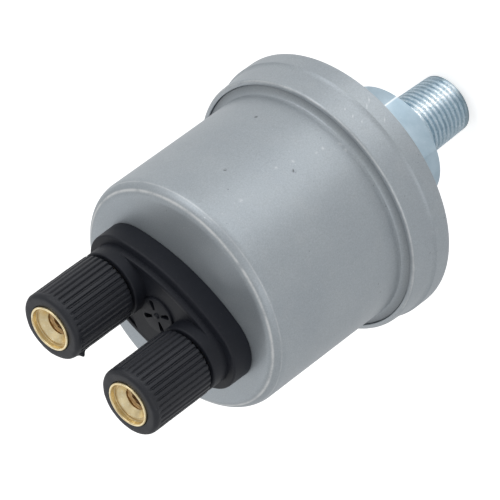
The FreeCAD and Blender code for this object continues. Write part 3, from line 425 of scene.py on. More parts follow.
def shape(piece, tree, **sizes):
    """Run a geometry tree on a piece with these sizes and keep the result as its mesh."""
    modifier = piece.modifiers.new("shape", "NODES")
    modifier.node_group = tree
    given = {name.replace("_", " "): value for name, value in sizes.items()}
    given["Material"] = piece.data.materials[0]
    for item in tree.interface.items_tree:
        if item.in_out == "INPUT" and item.name in given:
            modifier[item.identifier] = given[item.name]
    piece.data = evaluated_mesh(piece)


def screw_thread():
    """A thread on a turned skin: it sinks the groove of a helix between two heights."""
    tree = Shaper(
        "screw_thread",
        Centre_X=0.0,
        Bottom=0.0,
        Top=10.0,
        Pitch=1.0,
        Depth=0.5,
        Crest=0.15,
        Lead=0.8,
        Inside=0.0,
        Outside=100.0,
    )
    phase = (tree.z / tree.size("Pitch") - tree.turn).fraction()
    off_crest = 1 - abs(phase * 2 - 1)
    flank = ((off_crest - tree.size("Crest")) / (0.88 - tree.size("Crest"))).clamped()
    lead_in = ((tree.z - tree.size("Bottom")) / tree.size("Lead")).clamped()
    run_out = ((tree.size("Top") - tree.z) / tree.size("Lead")).clamped()
    threaded = (tree.radius > tree.size("Inside")) * (tree.radius < tree.size("Outside"))
    return tree.sink(tree.size("Depth") * flank * lead_in * run_out * threaded)


across_flats = 17.0
collar_radius = 9.815
collar_edge = 0.12
flat_turn = math.radians(73.0)
corner_turn = flat_turn + math.acos(across_flats / 2 / collar_radius)
collar_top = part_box("pressure_cup")[0][2] / mm
crown_radius, crown_foot = 8.4, -1.0
crown_slope = math.tan(math.radians(40))
pipe_length = -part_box("port_fitting")[0][2] / mm
pipe_radius = 5.21
pipe_taper = 1 / 32
pipe_pitch = 0.941
pipe_thread_depth, pipe_crest = 0.38, 0.46
pipe_run_out = 0.9
pipe_tip_radius, pipe_tip_edge = 4.55, 0.25
thread_innermost = 4.7
rings_per_pitch = 12
glint_turn, glint_reach = math.radians(88), 0.4
corner_highlight_reach = 0.02
oil_bore_radius, oil_bore_edge = 2.0, 0.25
oil_bore_end, oil_bore_cone = 7.5, 1.0
restrictor_radius = 0.4
shank_radius = 5.6
staked_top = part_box("port_fitting")[1][2] / mm
staked_radius, staked_edge, staked_height = 7.2, 0.5, 1.0


def zinc_finish():
    """Bluish zinc plating, clouded and worn, with painted light: a lighter thread with painted
    glints, a painted highlight down one collar corner and painted shade at the thread's end.
    """
    finish = Finish("bluish_zinc", Metallic=1.0)
    cloud = finish.noise(4.0, detail=4.0)
    streaks = finish.noise(1.0, detail=4.0, stretch=(1, 1, 0.25), seed=1)
    worn = finish.noise(0.5, detail=6.0, roughness=0.7, seed=2).rising(0.54, 0.66)
    tone = finish.mix(cloud.rising(0.3, 0.7), (0.35, 0.46, 0.54), (0.49, 0.60, 0.68))
    threaded = (-finish.axis("Z")).rising(-crown_foot, 0.4 - crown_foot)
    tone = finish.mix(worn * (threaded * 0.6 + 0.1), tone, (0.82, 0.87, 0.90))
    # Painted light: the threaded part is made lighter, to offset the shade in its grooves.
    tone = finish.mix(threaded * 0.18, tone, (0.70, 0.84, 0.92))
    chips = finish.noise(0.3, detail=5.0, roughness=0.7, seed=3)
    azimuth = finish.axis("X").math("ARCTAN2", finish.axis("Y"), finish.axis("X"))
    # Painted highlight: glints in one band along the thread, and a bright line down one corner of
    # the collar.
    glints = azimuth.near(glint_turn, glint_reach) * threaded * chips.rising(0.45, 0.55)
    painted_corner_highlight = azimuth.near(corner_turn, corner_highlight_reach) * (1 - threaded)
    tone = finish.mix(chips.rising(0.5, 0.7) * threaded * 0.7, tone, (0.22, 0.33, 0.40))
    tone = finish.mix((glints * 1.35 + painted_corner_highlight * 0.8).clamped(), tone, (0.97, 0.99, 1.0))
    # Painted shade: the thread's end is darkened.
    painted_end_shade = (-finish.axis("Z")).rising(pipe_length - 0.9, pipe_length - 0.2)
    tone = finish.mix(painted_end_shade * 0.85, tone, (0.20, 0.27, 0.31))
    return finish.look(tone, streaks * 0.22 + 0.24, chips * (threaded * 5 + 0.3), 0.012)


def collar_outline(turn):
    """The round collar with its two opposite flats."""
    off_flat = (turn - flat_turn + math.pi / 2) % math.pi - math.pi / 2
    return min(collar_radius, across_flats / 2 / max(math.cos(off_flat), 0.1))


def crown_ring(turn):
    """The curved edge where the turned crown meets the collar and its flats."""
    radius = collar_outline(turn)
    return radius, crown_foot + (radius - crown_radius) * crown_slope


pipe_rings = []
pipe_ring_count = int((pipe_length + crown_foot) / pipe_pitch * rings_per_pitch)
for i in range(pipe_ring_count):
    height = crown_foot - (pipe_length + crown_foot) * i / pipe_ring_count
    pipe_rings.append(level(pipe_radius + pipe_taper * height, height))
fitting_rings = [
    lambda turn: (collar_outline(turn) - collar_edge, collar_top),
    lambda turn: (collar_outline(turn), collar_top - collar_edge),
    crown_ring,
    level(crown_radius, crown_foot),
    level(pipe_radius + 0.2, crown_foot),
    *pipe_rings,
    level(pipe_tip_radius, -pipe_length + 0.05),
    level(pipe_tip_radius - pipe_tip_edge, -pipe_length),
    level(oil_bore_radius + oil_bore_edge, -pipe_length),
    level(oil_bore_radius, -pipe_length + oil_bore_edge),
    level(oil_bore_radius, oil_bore_end),
    level(restrictor_radius, oil_bore_end + oil_bore_cone),
    level(restrictor_radius, staked_top),
    level(staked_radius - staked_edge, staked_top),
    level(staked_radius, staked_top - staked_height),
    level(shank_radius, staked_top - staked_height),
    level(shank_radius, collar_top),
]
thread_tree = screw_thread()
fitting_mesh = turned_mesh("threaded_fitting", fitting_rings, even_turns(360))
fitting = place_piece("threaded_fitting", fitting_mesh, zinc_finish())
shape(
    fitting,
    thread_tree,
    Bottom=-pipe_length,
    Top=crown_foot,
    Pitch=pipe_pitch,
    Depth=pipe_thread_depth,
    Crest=pipe_crest,
    Lead=pipe_run_out,
    Inside=thread_innermost,
    Outside=shank_radius,
)
hold(fitting, "housing", "zinc_steel", "port_fitting", sharp_degrees=25)


# The pressure cup: cold-formed steel, dull plated, with a thinned skirt whose end is
# rolled inward over the can's flange to close the sender for good.
def dull_steel_finish(
    name, painted_highlight_lines, painted_shade_lines=(), dark_marks=(), light_marks=(), scratches=()
):
    """Dull plated sheet: faint clouds and a fine grain, specks and scuffs, painted highlight lines
    and painted shade lines.

    Painted highlight lines are heights with a strength, painted shade lines heights with a reach
    and a strength, marks places with a reach, and scratches slanting lines at an x, a height
    and a length.
    """
    finish = Finish(name, Metallic=0.6)
    cloud = finish.noise(9.0, detail=5.0, roughness=0.55)
    patch = finish.noise(2.2, detail=4.0, seed=1)
    lines = finish.noise(0.5, detail=3.0, stretch=(0.05, 0.05, 1), seed=2)
    grain = finish.noise(0.22, detail=3.0, roughness=0.7, seed=6)
    tone = finish.mix(cloud.rising(0.3, 0.7), (0.38, 0.42, 0.455), (0.42, 0.46, 0.49))
    tone = finish.mix(patch.rising(0.5, 0.75) * 0.3, tone, (0.47, 0.50, 0.52))
    tone = finish.mix(grain.rising(0.35, 0.65) * 0.32, tone, (0.20, 0.22, 0.24))
    dark = finish.specks(1.7, 0.09, seed=3) * finish.noise(4.0, seed=4).rising(0.52, 0.60)
    light = finish.noise(0.4, detail=6.0, roughness=0.75, seed=5).rising(0.63, 0.72) * 0.7
    broken = finish.noise(0.3, detail=4.0, seed=7).rising(0.35, 0.55)
    for place, reach in dark_marks:
        dark = dark + finish.spot(place, reach) * broken * 1.6
    for place, reach in light_marks:
        light = light + finish.spot(place, reach) * broken * 0.65
    for x, height, length in scratches:
        along = finish.axis("X") + finish.axis("Z") - (x + height)
        across = finish.axis("X") - finish.axis("Z") - (x - height)
        scratch = along.near(0.0, length) * across.near(0.0, 0.16) * (finish.axis("Y") > 0)
        light = light + scratch * broken
    # Uneven strength that breaks up the painted highlight lines.
    patchy = finish.noise(2.5, seed=8).rising(0.3, 0.6) * 0.7 + broken * 0.3 + 0.1
    # Painted highlight: bright lines round the piece at these heights.
    for height, strength in painted_highlight_lines:
        light = light + finish.axis("Z").near(height, 0.16) * patchy * strength
    # Painted shade: dark bands round the piece at these heights.
    for height, reach, strength in painted_shade_lines:
        dark = dark + finish.axis("Z").near(height, reach) * strength
    # The dark tone takes specks, marks and the painted shade lines; the pale tone takes scuffs,
    # scratches and the painted highlight lines.
    tone = finish.mix(dark.clamped() * 0.8, tone, (0.07, 0.075, 0.08))
    tone = finish.mix(light.clamped(), tone, (0.66, 0.68, 0.69))
    roughness = patch * 0.10 + lines * 0.06 + 0.38
    return finish.look(tone, roughness, lines * 0.4 + grain * 0.6, 0.006)


def handled(data, wave_mm, lump_mm, dents=()):
    """Make a skin slightly uneven and press dents into it; a negative depth is a burr."""
    moves = []
    for vertex in data.vertices:
        move = noise.noise(vertex.co / (lump_mm * mm)) * wave_mm
        for place_mm, reach_mm, depth_mm in dents:
            share = (vertex.co / mm - Vector(place_mm)).length / reach_mm
            move -= depth_mm * math.exp(-(share**2) * 3)
        moves.append(vertex.co + vertex.normal * move * mm)
    for vertex, place in zip(data.vertices, moves):
        vertex.co = place


cup_low, cup_high = (corner[2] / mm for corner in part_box("pressure_cup"))
cup_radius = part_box("pressure_cup")[1][0] / mm - 0.02
cup_bend = 0.9
dish_radius, dish_slope, cup_foot = 10.3, 1.5, cup_low - 0.4
cup_step, cup_step_round = 0.35, 0.15
cup_step_low, cup_step_high = 15.15, 15.5
skirt_radius, skirt_straight_top = 21.4, 18.7
skirt_inner_radius = 20.65
lip_inner_radius = 20.58
lip_round, lip_end_round = 0.5, 0.10
lip_end_centre = cup_high - lip_end_round
clamped_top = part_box("housing_can")[0][2] / mm + 0.8
ledge_top = 16.1
seat_radius = 18.2
cup_floor_top = 13.9
fitting_hole_radius = 5.63

cup_rings = [
    level(fitting_hole_radius, cup_low),
    level(dish_radius, cup_low),
    *straight((dish_radius + dish_slope, cup_foot), (cup_radius - cup_bend, cup_foot), 8),
    *rounding(cup_bend, cup_radius - cup_bend, cup_foot + cup_bend, -90, 0, 8),
    *straight((cup_radius, cup_foot + cup_bend), (cup_radius, cup_step_low), 5),
    *rounding(cup_step_round, cup_radius - cup_step_round, cup_step_low - 0.1, 0, 60, 3),
    level(cup_radius - cup_step + 0.03, cup_step_high),
    *straight((cup_radius - cup_step, cup_step_high + 0.1), (skirt_radius, skirt_straight_top), 8),
    *rounding(lip_round, skirt_radius - lip_round, cup_high - lip_round, 0, 90, 10),
    *rounding(lip_end_round, lip_inner_radius + lip_end_round, lip_end_centre, 90, 180, 4),
    level(lip_inner_radius, clamped_top + 0.05),
    level(lip_inner_radius + 0.06, clamped_top),
    level(skirt_inner_radius, clamped_top),
    level(skirt_inner_radius, ledge_top),
    level(seat_radius, ledge_top),
    level(seat_radius, cup_floor_top),
    level(fitting_hole_radius, cup_floor_top),
]
cup_scratches = [
    (-0.1, 13.5, 1.0),
    (0.5, 14.6, 1.2),
    (0.3, 17.3, 0.5),
    (3.7, 14.0, 0.9),
    (1.8, 16.9, 0.7),
    (-1.3, 17.3, 0.4),
]
cup_mesh = turned_mesh("rolled_cup", cup_rings, even_turns(288))
# The line at the lip's top is a painted highlight, broken up unevenly.
cup_steel = dull_steel_finish("dull_cup_steel", [(cup_high - 0.12, 0.7)], scratches=cup_scratches)
cup = place_piece("rolled_cup", cup_mesh, cup_steel)
hold(cup, "housing", "satin_steel", "pressure_cup")


# The sealed works between cup and can: gasket, corrugated diaphragm, pressed plate, push
# pin and its spring, bracket, lever, resistance card, warning contact and leads. They stay
# as they are modelled and get the plain look of such parts.
def metal_look(name, light, dark, roughness):
    """Clean metal whose colour and gloss vary a little with handling."""
    finish = Finish(name, Metallic=1.0)
    cloud = finish.noise(1.5, detail=4.0)
    tone = finish.mix(cloud, dark, light)
    return finish.look(tone, cloud * 0.16 + (roughness - 0.08), finish.noise(0.1), 0.004)


def moulded_look(name, light, dark, roughness):
    """Moulded plastic, fibre or rubber with a fine even grain."""
    finish = Finish(name)
    cloud = finish.noise(1.2, detail=3.0)
    tone = finish.mix(cloud, dark, light)
    return finish.look(tone, cloud * 0.14 + (roughness - 0.07), finish.noise(0.15), 0.02)


inner_looks = {
    "zinc_steel": metal_look("inner_zinc", (0.50, 0.55, 0.59), (0.36, 0.41, 0.45), 0.34),
    "satin_steel": metal_look("inner_steel", (0.55, 0.55, 0.56), (0.42, 0.42, 0.43), 0.35),
    "spring_steel": metal_look("spring_steel", (0.60, 0.61, 0.63), (0.42, 0.43, 0.45), 0.28),
    "plated_steel": metal_look("plated_steel", (0.68, 0.67, 0.62), (0.50, 0.49, 0.45), 0.33),
    "brass": metal_look("inner_brass", (0.80, 0.64, 0.32), (0.62, 0.46, 0.20), 0.30),
    "contact_silver": metal_look("contact_silver", (0.86, 0.85, 0.83), (0.70, 0.69, 0.67), 0.2),
    "tinned_wire": metal_look("tinned_wire", (0.76, 0.77, 0.78), (0.58, 0.59, 0.60), 0.27),
    "resistance_wire": metal_look("winding_wire", (0.60, 0.52, 0.42), (0.42, 0.36, 0.28), 0.4),
    "brown_moulding": moulded_look("brown_fibre", (0.22, 0.10, 0.045), (0.12, 0.05, 0.02), 0.45),
    "black_moulding": moulded_look("inner_black", (0.035,) * 3, (0.022,) * 3, 0.5),
    "sealing_rubber": moulded_look("black_rubber", (0.03,) * 3, (0.018,) * 3, 0.65),
    "sealing_fibre": moulded_look("grey_fibre", (0.22, 0.20, 0.18), (0.13, 0.12, 0.11), 0.75),
}
for part in frame["record"]["subparts"]:
    solid = frame["nodes"][part["node"]]
    solid.data.materials.clear()
    solid.data.materials.append(inner_looks[part["material_slot"]])


# The can: deep-drawn from the same dull plated sheet, with painted highlight lines round its
# rounded end and painted shade in the flare at its foot. Its foot flares out to the cup's lip,
# which clamps it; two holes take the studs.
def joined(piece, operation, *others):
    """Add other closed meshes to a piece, or cut them out of it."""
    for data in others:
        other = bpy.data.objects.new("tool", data)
        scene.collection.objects.link(other)
        modifier = piece.modifiers.new("joined", "BOOLEAN")
        modifier.operation = operation
        modifier.solver = "EXACT"
        modifier.object = other
        piece.data = evaluated_mesh(piece)
        bpy.data.objects.remove(other)


def plug(centre_x, radius, low, high, count=96):
    """A plain round plug about an upright axis."""
    rings = [level(radius, low), level(radius, high)]
    return turned_mesh("plug", rings, even_turns(count), centre_x, bored=False)


can_radius = 19.25
can_wall = 0.8
can_flange_radius = 20.62
can_foot, can_top = (corner[2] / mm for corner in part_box("housing_can"))
can_end_round = 2.2
flare_width, flare_height = 1.22, 0.75
flare_foot = cup_high - 0.25
can_hole_radius = 3.13
stud_offset = 8.1
middle_radius = 0.5
can_wave, can_wave_lump = 0.012, 9.0
can_dents = [((13.5, 13.9, 27.5), 1.3, 0.05), ((15.0, 12.1, 25.9), 0.9, 0.04)]
# Painted highlight lines round the rounded end; below, painted shade in the flare at the foot.
painted_highlight_lines = [(can_top - 0.32, 1.3), (can_top - 1.3, 0.45)]
painted_shade_lines = [(flare_foot, 0.6, 0.5)]
dark_marks = [((1.0, 19.2, 30.0), 0.45), ((-5.6, 18.4, 37.6), 0.35), ((-10.2, 16.3, 25.5), 0.4)]
light_marks = [
    ((-0.3, 19.2, 28.9), 0.40),
    ((-1.0, 19.2, 31.8), 0.35),
    ((0.8, 19.2, 24.9), 0.35),
    ((0.8, 19.2, 23.5), 0.40),
    ((1.8, 19.2, 20.8), 0.45),
    ((3.0, 19.0, 20.8), 0.45),
    ((-0.1, 19.2, 40.2), 0.45),
]

shoulder = can_top - can_end_round
end_centre = can_radius - can_end_round
inner_radius = can_radius - can_wall
flare_rings = []
for i in range(13):
    share = i / 12
    out = can_radius + flare_width * share**1.35
    flare_rings.append(level(out, flare_foot + flare_height * (1 - share) ** 1.1))
can_rings = [
    level(middle_radius, can_top),
    *straight((middle_radius, can_top), (end_centre, can_top), 12),
    *rounding(can_end_round, end_centre, shoulder, 90, 0, 16),
    *straight((can_radius, shoulder), (can_radius, flare_foot + flare_height), 40),
    *flare_rings,
    level(can_radius + flare_width, can_foot + can_wall),
    level(can_flange_radius, can_foot + can_wall),
    level(can_flange_radius, can_foot),
    level(inner_radius, can_foot),
    *rounding(can_end_round - can_wall, end_centre, shoulder, 0, 90, 12),
    level(middle_radius, can_top - can_wall),
]
can_mesh = turned_mesh("drawn_can", can_rings, even_turns(300), bored=False)
handled(can_mesh, can_wave, can_wave_lump, can_dents)
can_steel = dull_steel_finish("dull_can_steel", painted_highlight_lines, painted_shade_lines, dark_marks, light_marks)
can = place_piece("drawn_can", can_mesh, can_steel)
for side in (-1, 1):
    hole = plug(side * stud_offset, can_hole_radius, can_top - 2, can_top + 1)
    joined(can, "DIFFERENCE", hole)
hold(can, "housing", "satin_steel", "housing_can")


# The terminal base: one black moulding with a raised rim round a trough, which is filled
# on one side of the slotted hub in its middle, and a round boss under each nut. Its
# spigots stand in the can's holes.
base_end_radius = 6.8
base_side_radius = 30.932
base_side_drop = 22.732
base_draft = math.tan(math.radians(1.0))
shelf_height = 50.9
shelf_round = 0.35
rim_height = 51.9
rim_round = 0.18
rim_outer_inset, rim_inner_inset = 1.4, 2.2
trough_floor = 51.6
foot_gap, foot_edge = 0.02, 0.1
seal_inset, seal_depth = 1.7, 0.8
hub_radius, hub_top, hub_round, hub_root = 3.1, 51.95, 0.15, 0.9
dimple_radius = 0.25
slot_start, slot_reach, slot_widths, slot_depth = 1.0, 2.7, (0.45, 0.9), 0.8
near_fill_radius, near_fill_centre = 4.1, -2.45
near_fill_top, near_fill_root = rim_height - 0.01, 0.7
boss_radius, boss_top, boss_round, boss_root = 5.42, 53.8, 0.3, 1.3
nut_recess_radius, nut_recess_floor = 4.3, 51.5
stud_hole_radius = 2.15
spigot_radius = 3.1
spigot_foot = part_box("terminal_base")[0][2] / mm
shelf_inset = (shelf_height - can_top) * base_draft


def oval(inset, height):
    """The base's outline at an inset: an arc about each stud, a long arc on each side."""
    lean = math.atan2(stud_offset, base_side_drop)
    end, side = base_end_radius - inset, base_side_radius - inset
    quarter = math.pi / 2
    arcs = [
        (stud_offset, 0.0, end, lean - quarter, quarter - lean, 48),
        (0.0, -base_side_drop, side, quarter - lean, quarter + lean, 24),
        (-stud_offset, 0.0, end, quarter + lean, 3 * quarter - lean, 48),
        (0.0, base_side_drop, side, 3 * quarter - lean, 3 * quarter + lean, 24),
    ]
    places = []
    for x, y, radius, start, finish, steps in arcs:
        for i in range(steps):
            turn = start + (finish - start) * i / steps
            places.append((x + radius * math.cos(turn), y + radius * math.sin(turn), height))
    return places


def edge_outlines(inset, height, radius, start, finish, steps=5):
    """Outlines round an edge: insets and heights along an arc about its centre."""
    outlines = []
    for i in range(steps + 1):
        angle = math.radians(start + (finish - start) * i / steps)
        along = inset - radius * math.cos(angle)
        outlines.append(oval(along, height + radius * math.sin(angle)))
    return outlines


def wedge(turn, start, reach, widths, low, high):
    """A bar that points away from the axis at this turn and widens towards its tip."""
    near, far = (width / 2 for width in widths)
    shoulder_reach = reach - far * 0.6
    corners = [(start, -near), (shoulder_reach, -far), (reach, -far / 2)]
    corners += [(along, -across) for along, across in reversed(corners)]
    rows = []
    for height in (low, high):
        row = []
        for along, across in corners:
            x = along * math.cos(turn) - across * math.sin(turn)
            row.append((x, along * math.sin(turn) + across * math.cos(turn), height))
        rows.append(row)
    return skinned_mesh("wedge", rows)


def black_moulding_finish(name, sheen):
    """Black moulding with a satin sheen, slight flow marks and a little dust."""
    finish = Finish(name, Specular_IOR_Level=sheen)
    flow = finish.noise(3.0, detail=3.0, stretch=(1, 1, 0.5))
    tone = finish.mix(flow, (0.009, 0.0105, 0.015), (0.016, 0.018, 0.025))
    dust = finish.noise(0.35, detail=6.0, roughness=0.7, seed=1).rising(0.62, 0.80)
    tone = finish.mix(dust * 0.5, tone, (0.10, 0.10, 0.105))
    grain = finish.noise(0.22, detail=4.0, seed=2)
    return finish.look(tone, flow * 0.16 + 0.42, grain, 0.015)


base_outlines = [
    oval(seal_inset, can_top + seal_depth),
    oval(seal_inset, can_top + foot_gap),
    oval(foot_edge + foot_gap, can_top + foot_gap),
    oval(foot_gap, can_top + foot_edge + foot_gap),
    *edge_outlines(shelf_inset + shelf_round, shelf_height - shelf_round, shelf_round, 0, 90),
    oval(rim_outer_inset, shelf_height),
    *edge_outlines(rim_outer_inset + rim_round, rim_height - rim_round, rim_round, 0, 90, 3),
    *edge_outlines(rim_inner_inset - rim_round, rim_height - rim_round, rim_round, 90, 180, 3),
    oval(rim_inner_inset, trough_floor),
]
base_mesh = skinned_mesh("terminal_moulding", base_outlines)
base = place_piece("terminal_moulding", base_mesh, black_moulding_finish("black_base", sheen=0.22))
hub_rings = [
    level(hub_radius, trough_floor - hub_root),
    *rounding(hub_round, hub_radius - hub_round, hub_top - hub_round, 0, 90, 3),
    level(middle_radius, hub_top),
    *rounding(dimple_radius, dimple_radius, hub_top, 0, 80, 3),
]
joined(base, "UNION", turned_mesh("hub", hub_rings, even_turns(64), bored=False))
near_fill = plug(0.0, near_fill_radius, trough_floor - near_fill_root, near_fill_top)
near_fill.transform(Matrix.Translation((0.0, near_fill_centre * mm, 0.0)))
joined(base, "UNION", near_fill)
for side in (-1, 1):
    boss_rings = [
        level(boss_radius, trough_floor - boss_root),
        *rounding(boss_round, boss_radius - boss_round, boss_top - boss_round, 0, 90, 5),
    ]
    boss = turned_mesh("boss", boss_rings, even_turns(144), side * stud_offset, bored=False)
    spigot = plug(side * stud_offset, spigot_radius, spigot_foot, can_top + seal_depth + 0.5)
    joined(base, "UNION", boss, spigot)
for side in (-1, 1):
    recess = plug(side * stud_offset, nut_recess_radius, nut_recess_floor, boss_top + 1)
    hole = plug(side * stud_offset, stud_hole_radius, spigot_foot - 1, nut_recess_floor + 1)
    joined(base, "DIFFERENCE", recess, hole)
for quarter_turn in range(4):
    turn = math.radians(45 + 90 * quarter_turn)
    low = hub_top - slot_depth
    slot = wedge(turn, slot_start, slot_reach, slot_widths, low, hub_top + 1)
    joined(base, "DIFFERENCE", slot)
hold(base, "housing", "black_moulding", "terminal_base", sharp_degrees=30)


# The studs and their thin nuts: plated steel screws headed inside the can, each clamped
# by a seven-millimetre hexagon nut that lies sunk in its boss.
stud_radius = 1.97
stud_shank_radius = 2.0
stud_head_radius, stud_head_edge = 3.2, 0.2
stud_head_bottom, stud_head_top = 43.0, 44.4
stud_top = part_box("stud_1")[1][2] / mm
stud_point, stud_point_width = 0.4, 0.45
stud_pitch = 0.7
stud_rings_per_pitch = 10
nut_flats, nut_height = 7.0, 2.4
nut_top = nut_recess_floor + nut_height
bore_radius, bore_edge = 2.03, 0.15
fine_thread = {"Pitch": stud_pitch, "Depth": 0.42, "Crest": 0.14, "Lead": 0.5}
stud_thread = {**fine_thread, "Inside": 1.9, "Outside": 1.985}
bore_thread = {**fine_thread, "Inside": 2.0, "Outside": 2.1}
small_turns = even_turns(72)

plated = metal_look("plated_stud", (0.62, 0.61, 0.57), (0.44, 0.43, 0.40), 0.34)
stud_rings = [
    level(stud_head_radius - stud_head_edge, stud_head_bottom),
    level(stud_head_radius, stud_head_bottom + stud_head_edge),
    level(stud_head_radius, stud_head_top),
    level(stud_shank_radius, stud_head_top),
    level(stud_shank_radius, nut_recess_floor),
]
stud_ring_count = int((stud_top - nut_recess_floor) / stud_pitch * stud_rings_per_pitch)
point_foot = stud_top - stud_point
for i in range(stud_ring_count):
    height = nut_recess_floor + (point_foot - nut_recess_floor) * i / stud_ring_count
    stud_rings.append(level(stud_radius, height))
stud_rings.append(level(stud_radius, point_foot))
stud_rings.append(level(stud_radius - stud_point_width, stud_top))


def nut_outline(turn):
    """The small nut's six flats."""
    off_flat = (turn + math.radians(30)) % math.radians(60) - math.radians(30)
    return nut_flats / 2 / math.cos(off_flat)


def nut_crown(turn):
    """The curved edge where the nut's turned crown cuts its flats."""
    radius = nut_outline(turn)
    return radius, nut_top - (radius - nut_flats / 2) * math.tan(math.radians(30))


bore_steps = int(nut_height / stud_pitch * stud_rings_per_pitch)
nut_rings = [
    lambda turn: (nut_outline(turn), nut_recess_floor),
    nut_crown,
    level(nut_flats / 2, nut_top),
    level(bore_radius + bore_edge, nut_top),
]
for i in range(1, bore_steps):
    drop = nut_height * i / bore_steps
    nut_rings.append(level(bore_radius, nut_top - drop))
nut_rings.append(level(bore_radius + bore_edge, nut_recess_floor))

for index, side in ((1, -1), (2, 1)):
    centre = side * stud_offset
    ends = {"Centre_X": centre, "Bottom": nut_recess_floor - 1, "Top": stud_top + 1}
    name = f"threaded_stud_{index}"
    stud_mesh = turned_mesh(name, stud_rings, small_turns, centre, bored=False)
    stud = place_piece(name, stud_mesh, plated)
    shape(stud, thread_tree, **ends, **stud_thread)
    hold(stud, "housing", "plated_steel", f"stud_{index}")
    name = f"clamping_nut_{index}"
    nut = place_piece(name, turned_mesh(name, nut_rings, small_turns, centre), plated)
    shape(nut, thread_tree, **ends, **bore_thread)
    hold(nut, "housing", "plated_steel", f"stud_nut_{index}")


# The brass inserts of the terminal nuts: turned tubes with a proud rounded rim and a
# stepped, coned mouth, threaded for the stud and pressed into the black caps.
insert_radius, insert_edge = 3.65, 0.1
insert_low, insert_high = (corner[2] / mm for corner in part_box("nut_insert_1"))
mouth_radius, ledge_radius, cone_radius = 3.28, 2.78, 2.66
ledge = insert_high - 0.75
cone_top = insert_high - 0.92
cone_foot = insert_high - 1.7
ledge_round = 0.08
insert_rim_round = 0.14
insert_rim_centre = insert_high - insert_rim_round
bore_lead_in = 0.2
funnel_radius = bore_radius - bore_lead_in


def brass_finish():
    """Turned brass, slightly tarnished, with fine turning lines and bright rubbed spots, and
    painted shade deep in the mouth and along its ledge.
    """
    finish = Finish("turned_brass", Metallic=1.0)
    cloud = finish.noise(1.4, detail=4.0)
    lines = finish.noise(0.18, detail=3.0, stretch=(0.2, 0.2, 1), seed=1)
    tone = finish.mix(cloud.rising(0.3, 0.7), (0.70, 0.56, 0.32), (0.88, 0.76, 0.48))
    patchy = finish.noise(0.4, detail=5.0, seed=2).rising(0.55, 0.7)
    tone = finish.mix(patchy * 0.6, tone, (0.96, 0.91, 0.72))
    # Painted shade: darker brown deep down in the mouth.
    mouth_shade = 1 - finish.axis("Z").rising(cone_foot - 0.35, cone_foot)
    tone = finish.mix(mouth_shade * 0.65, tone, (0.48, 0.27, 0.10))
    # Painted shade: a dark line along the ledge's step.
    ledge_shade = finish.axis("Z").near(ledge, 0.12)
    tone = finish.mix(ledge_shade * 0.6, tone, (0.40, 0.26, 0.10))
    coned = 1 - finish.axis("Z").rising(cone_top, ledge)
    return finish.look(tone, lines * 0.10 + cloud * 0.10 + coned * 0.12 + 0.20, lines, 0.003)


insert_rings = [
    level(insert_radius - insert_edge, insert_low),
    level(insert_radius, insert_low + insert_edge),
    *rounding(insert_rim_round, insert_radius - insert_rim_round, insert_rim_centre, 0, 90, 4),
    *rounding(insert_rim_round, mouth_radius + insert_rim_round, insert_rim_centre, 90, 180, 4),
    level(mouth_radius - ledge_round, ledge + ledge_round),
    level(mouth_radius - 2 * ledge_round, ledge),
    *rounding(ledge_round, ledge_radius + ledge_round, ledge - ledge_round, 90, 180, 3),
    level(cone_radius, cone_top),
    *straight((cone_radius, cone_top), (funnel_radius, cone_foot), 4),
    level(funnel_radius, cone_foot),
    level(bore_radius, cone_foot - bore_lead_in),
]
insert_steps = int((cone_foot - insert_low) / stud_pitch * stud_rings_per_pitch)
for i in range(1, insert_steps):
    drop = (cone_foot - bore_lead_in - insert_low) * i / insert_steps
    insert_rings.append(level(bore_radius, cone_foot - bore_lead_in - drop))
insert_rings.append(level(bore_radius + bore_edge, insert_low))

brass = brass_finish()
for index, side in ((1, -1), (2, 1)):
    centre = side * stud_offset
    name = f"brass_insert_{index}"
    insert_mesh = turned_mesh(name, insert_rings, even_turns(96), centre)
    insert = place_piece(name, insert_mesh, brass)
    ends = {"Centre_X": centre, "Bottom": insert_low - 1, "Top": cone_foot - 0.1}
    shape(insert, thread_tree, **ends, **bore_thread)
    hold(insert, f"nut_{index}_core", "brass", f"nut_insert_{index}")


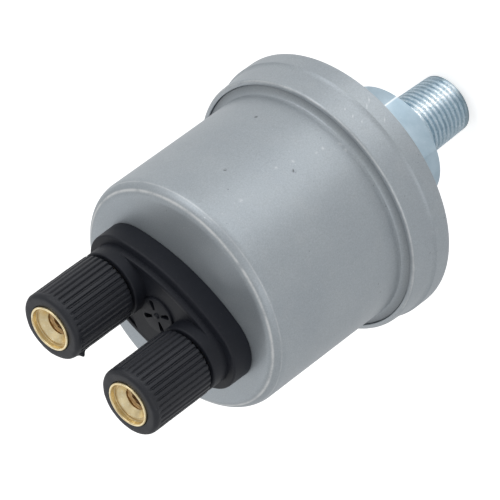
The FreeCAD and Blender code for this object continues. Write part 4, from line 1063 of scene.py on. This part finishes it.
# The black caps of the terminal nuts: moulded grips with 36 rounded ribs that stop short
# of the smooth rounded end. The first has a burr on its side, the second a rough edge.
def ribbed_grip():
    """Ribs on a turned skin: it sinks rounded grooves along the axis up to a stop."""
    tree = Shaper(
        "ribbed_grip",
        Centre_X=0.0,
        Ribs=36.0,
        First_rib=0.0,
        Depth=0.4,
        Rib_share=0.4,
        Stop=10.0,
        Run_out=1.0,
        Inside=5.0,
    )
    phase = ((tree.turn - tree.size("First rib") / 360) * tree.size("Ribs")).fraction()
    off_rib = 1 - abs(phase * 2 - 1)
    share = tree.size("Rib share")
    slope = ((off_rib - share) / (0.85 - share)).clamped()
    groove = slope * slope * (3 - slope * 2)
    run_out = ((tree.size("Stop") - tree.z) / tree.size("Run out")).clamped().root()
    outside = tree.radius > tree.size("Inside")
    return tree.sink(tree.size("Depth") * groove * run_out * outside)


cap_radius = 5.5
cap_low, cap_high = (corner[2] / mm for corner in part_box("nut_cap_1"))
cap_foot_edge, cap_foot_taper = 0.3, 0.02
cap_end_round, cap_mouth_round = 0.8, 0.12
cap_mouth_centre = cap_high - cap_mouth_round
cap_bore_radius = 3.70
cap_ribs, places_per_rib = 36, 14
first_rib_degrees = 4.3
rib_depth, rib_share = 0.27, 0.44
rib_middle, rib_stop, rib_run_out = cap_high - 2.6, cap_high - 0.95, 0.5
ribs_innermost = 4.9
cap_wave, cap_wave_lump = 0.03, 1.2
cap_burrs = {1: [((-2.87, -1.70, 64.3), 0.8, -0.7)], 2: [((12.4, 3.3, 65.4), 0.9, -0.15)]}

cap_rings = [
    level(cap_bore_radius, cap_low),
    level(cap_radius - cap_foot_edge, cap_low),
    level(cap_radius - cap_foot_taper, cap_low + cap_foot_edge),
    *straight((cap_radius, cap_low + cap_foot_edge), (cap_radius, rib_middle), 10),
    *straight((cap_radius, rib_middle), (cap_radius, rib_stop), 10),
    *rounding(cap_end_round, cap_radius - cap_end_round, cap_high - cap_end_round, 0, 90, 8),
    *rounding(cap_mouth_round, cap_bore_radius + cap_mouth_round, cap_mouth_centre, 90, 180, 3),
]
grip_tree = ribbed_grip()
cap_turns = even_turns(cap_ribs * places_per_rib)
black_cap = black_moulding_finish("black_cap", sheen=0.40)
for index, side in ((1, -1), (2, 1)):
    centre = side * stud_offset
    name = f"ribbed_cap_{index}"
    cap_mesh = turned_mesh(name, cap_rings, cap_turns, centre)
    cap = place_piece(name, cap_mesh, black_cap)
    handled(cap_mesh, cap_wave, cap_wave_lump, cap_burrs[index])
    shape(
        cap,
        grip_tree,
        Centre_X=centre,
        Ribs=cap_ribs,
        First_rib=first_rib_degrees,
        Depth=rib_depth,
        Rib_share=rib_share,
        Stop=rib_stop,
        Run_out=rib_run_out,
        Inside=ribs_innermost,
    )
    hold(cap, f"nut_{index}_grip", "black_moulding", f"nut_cap_{index}")
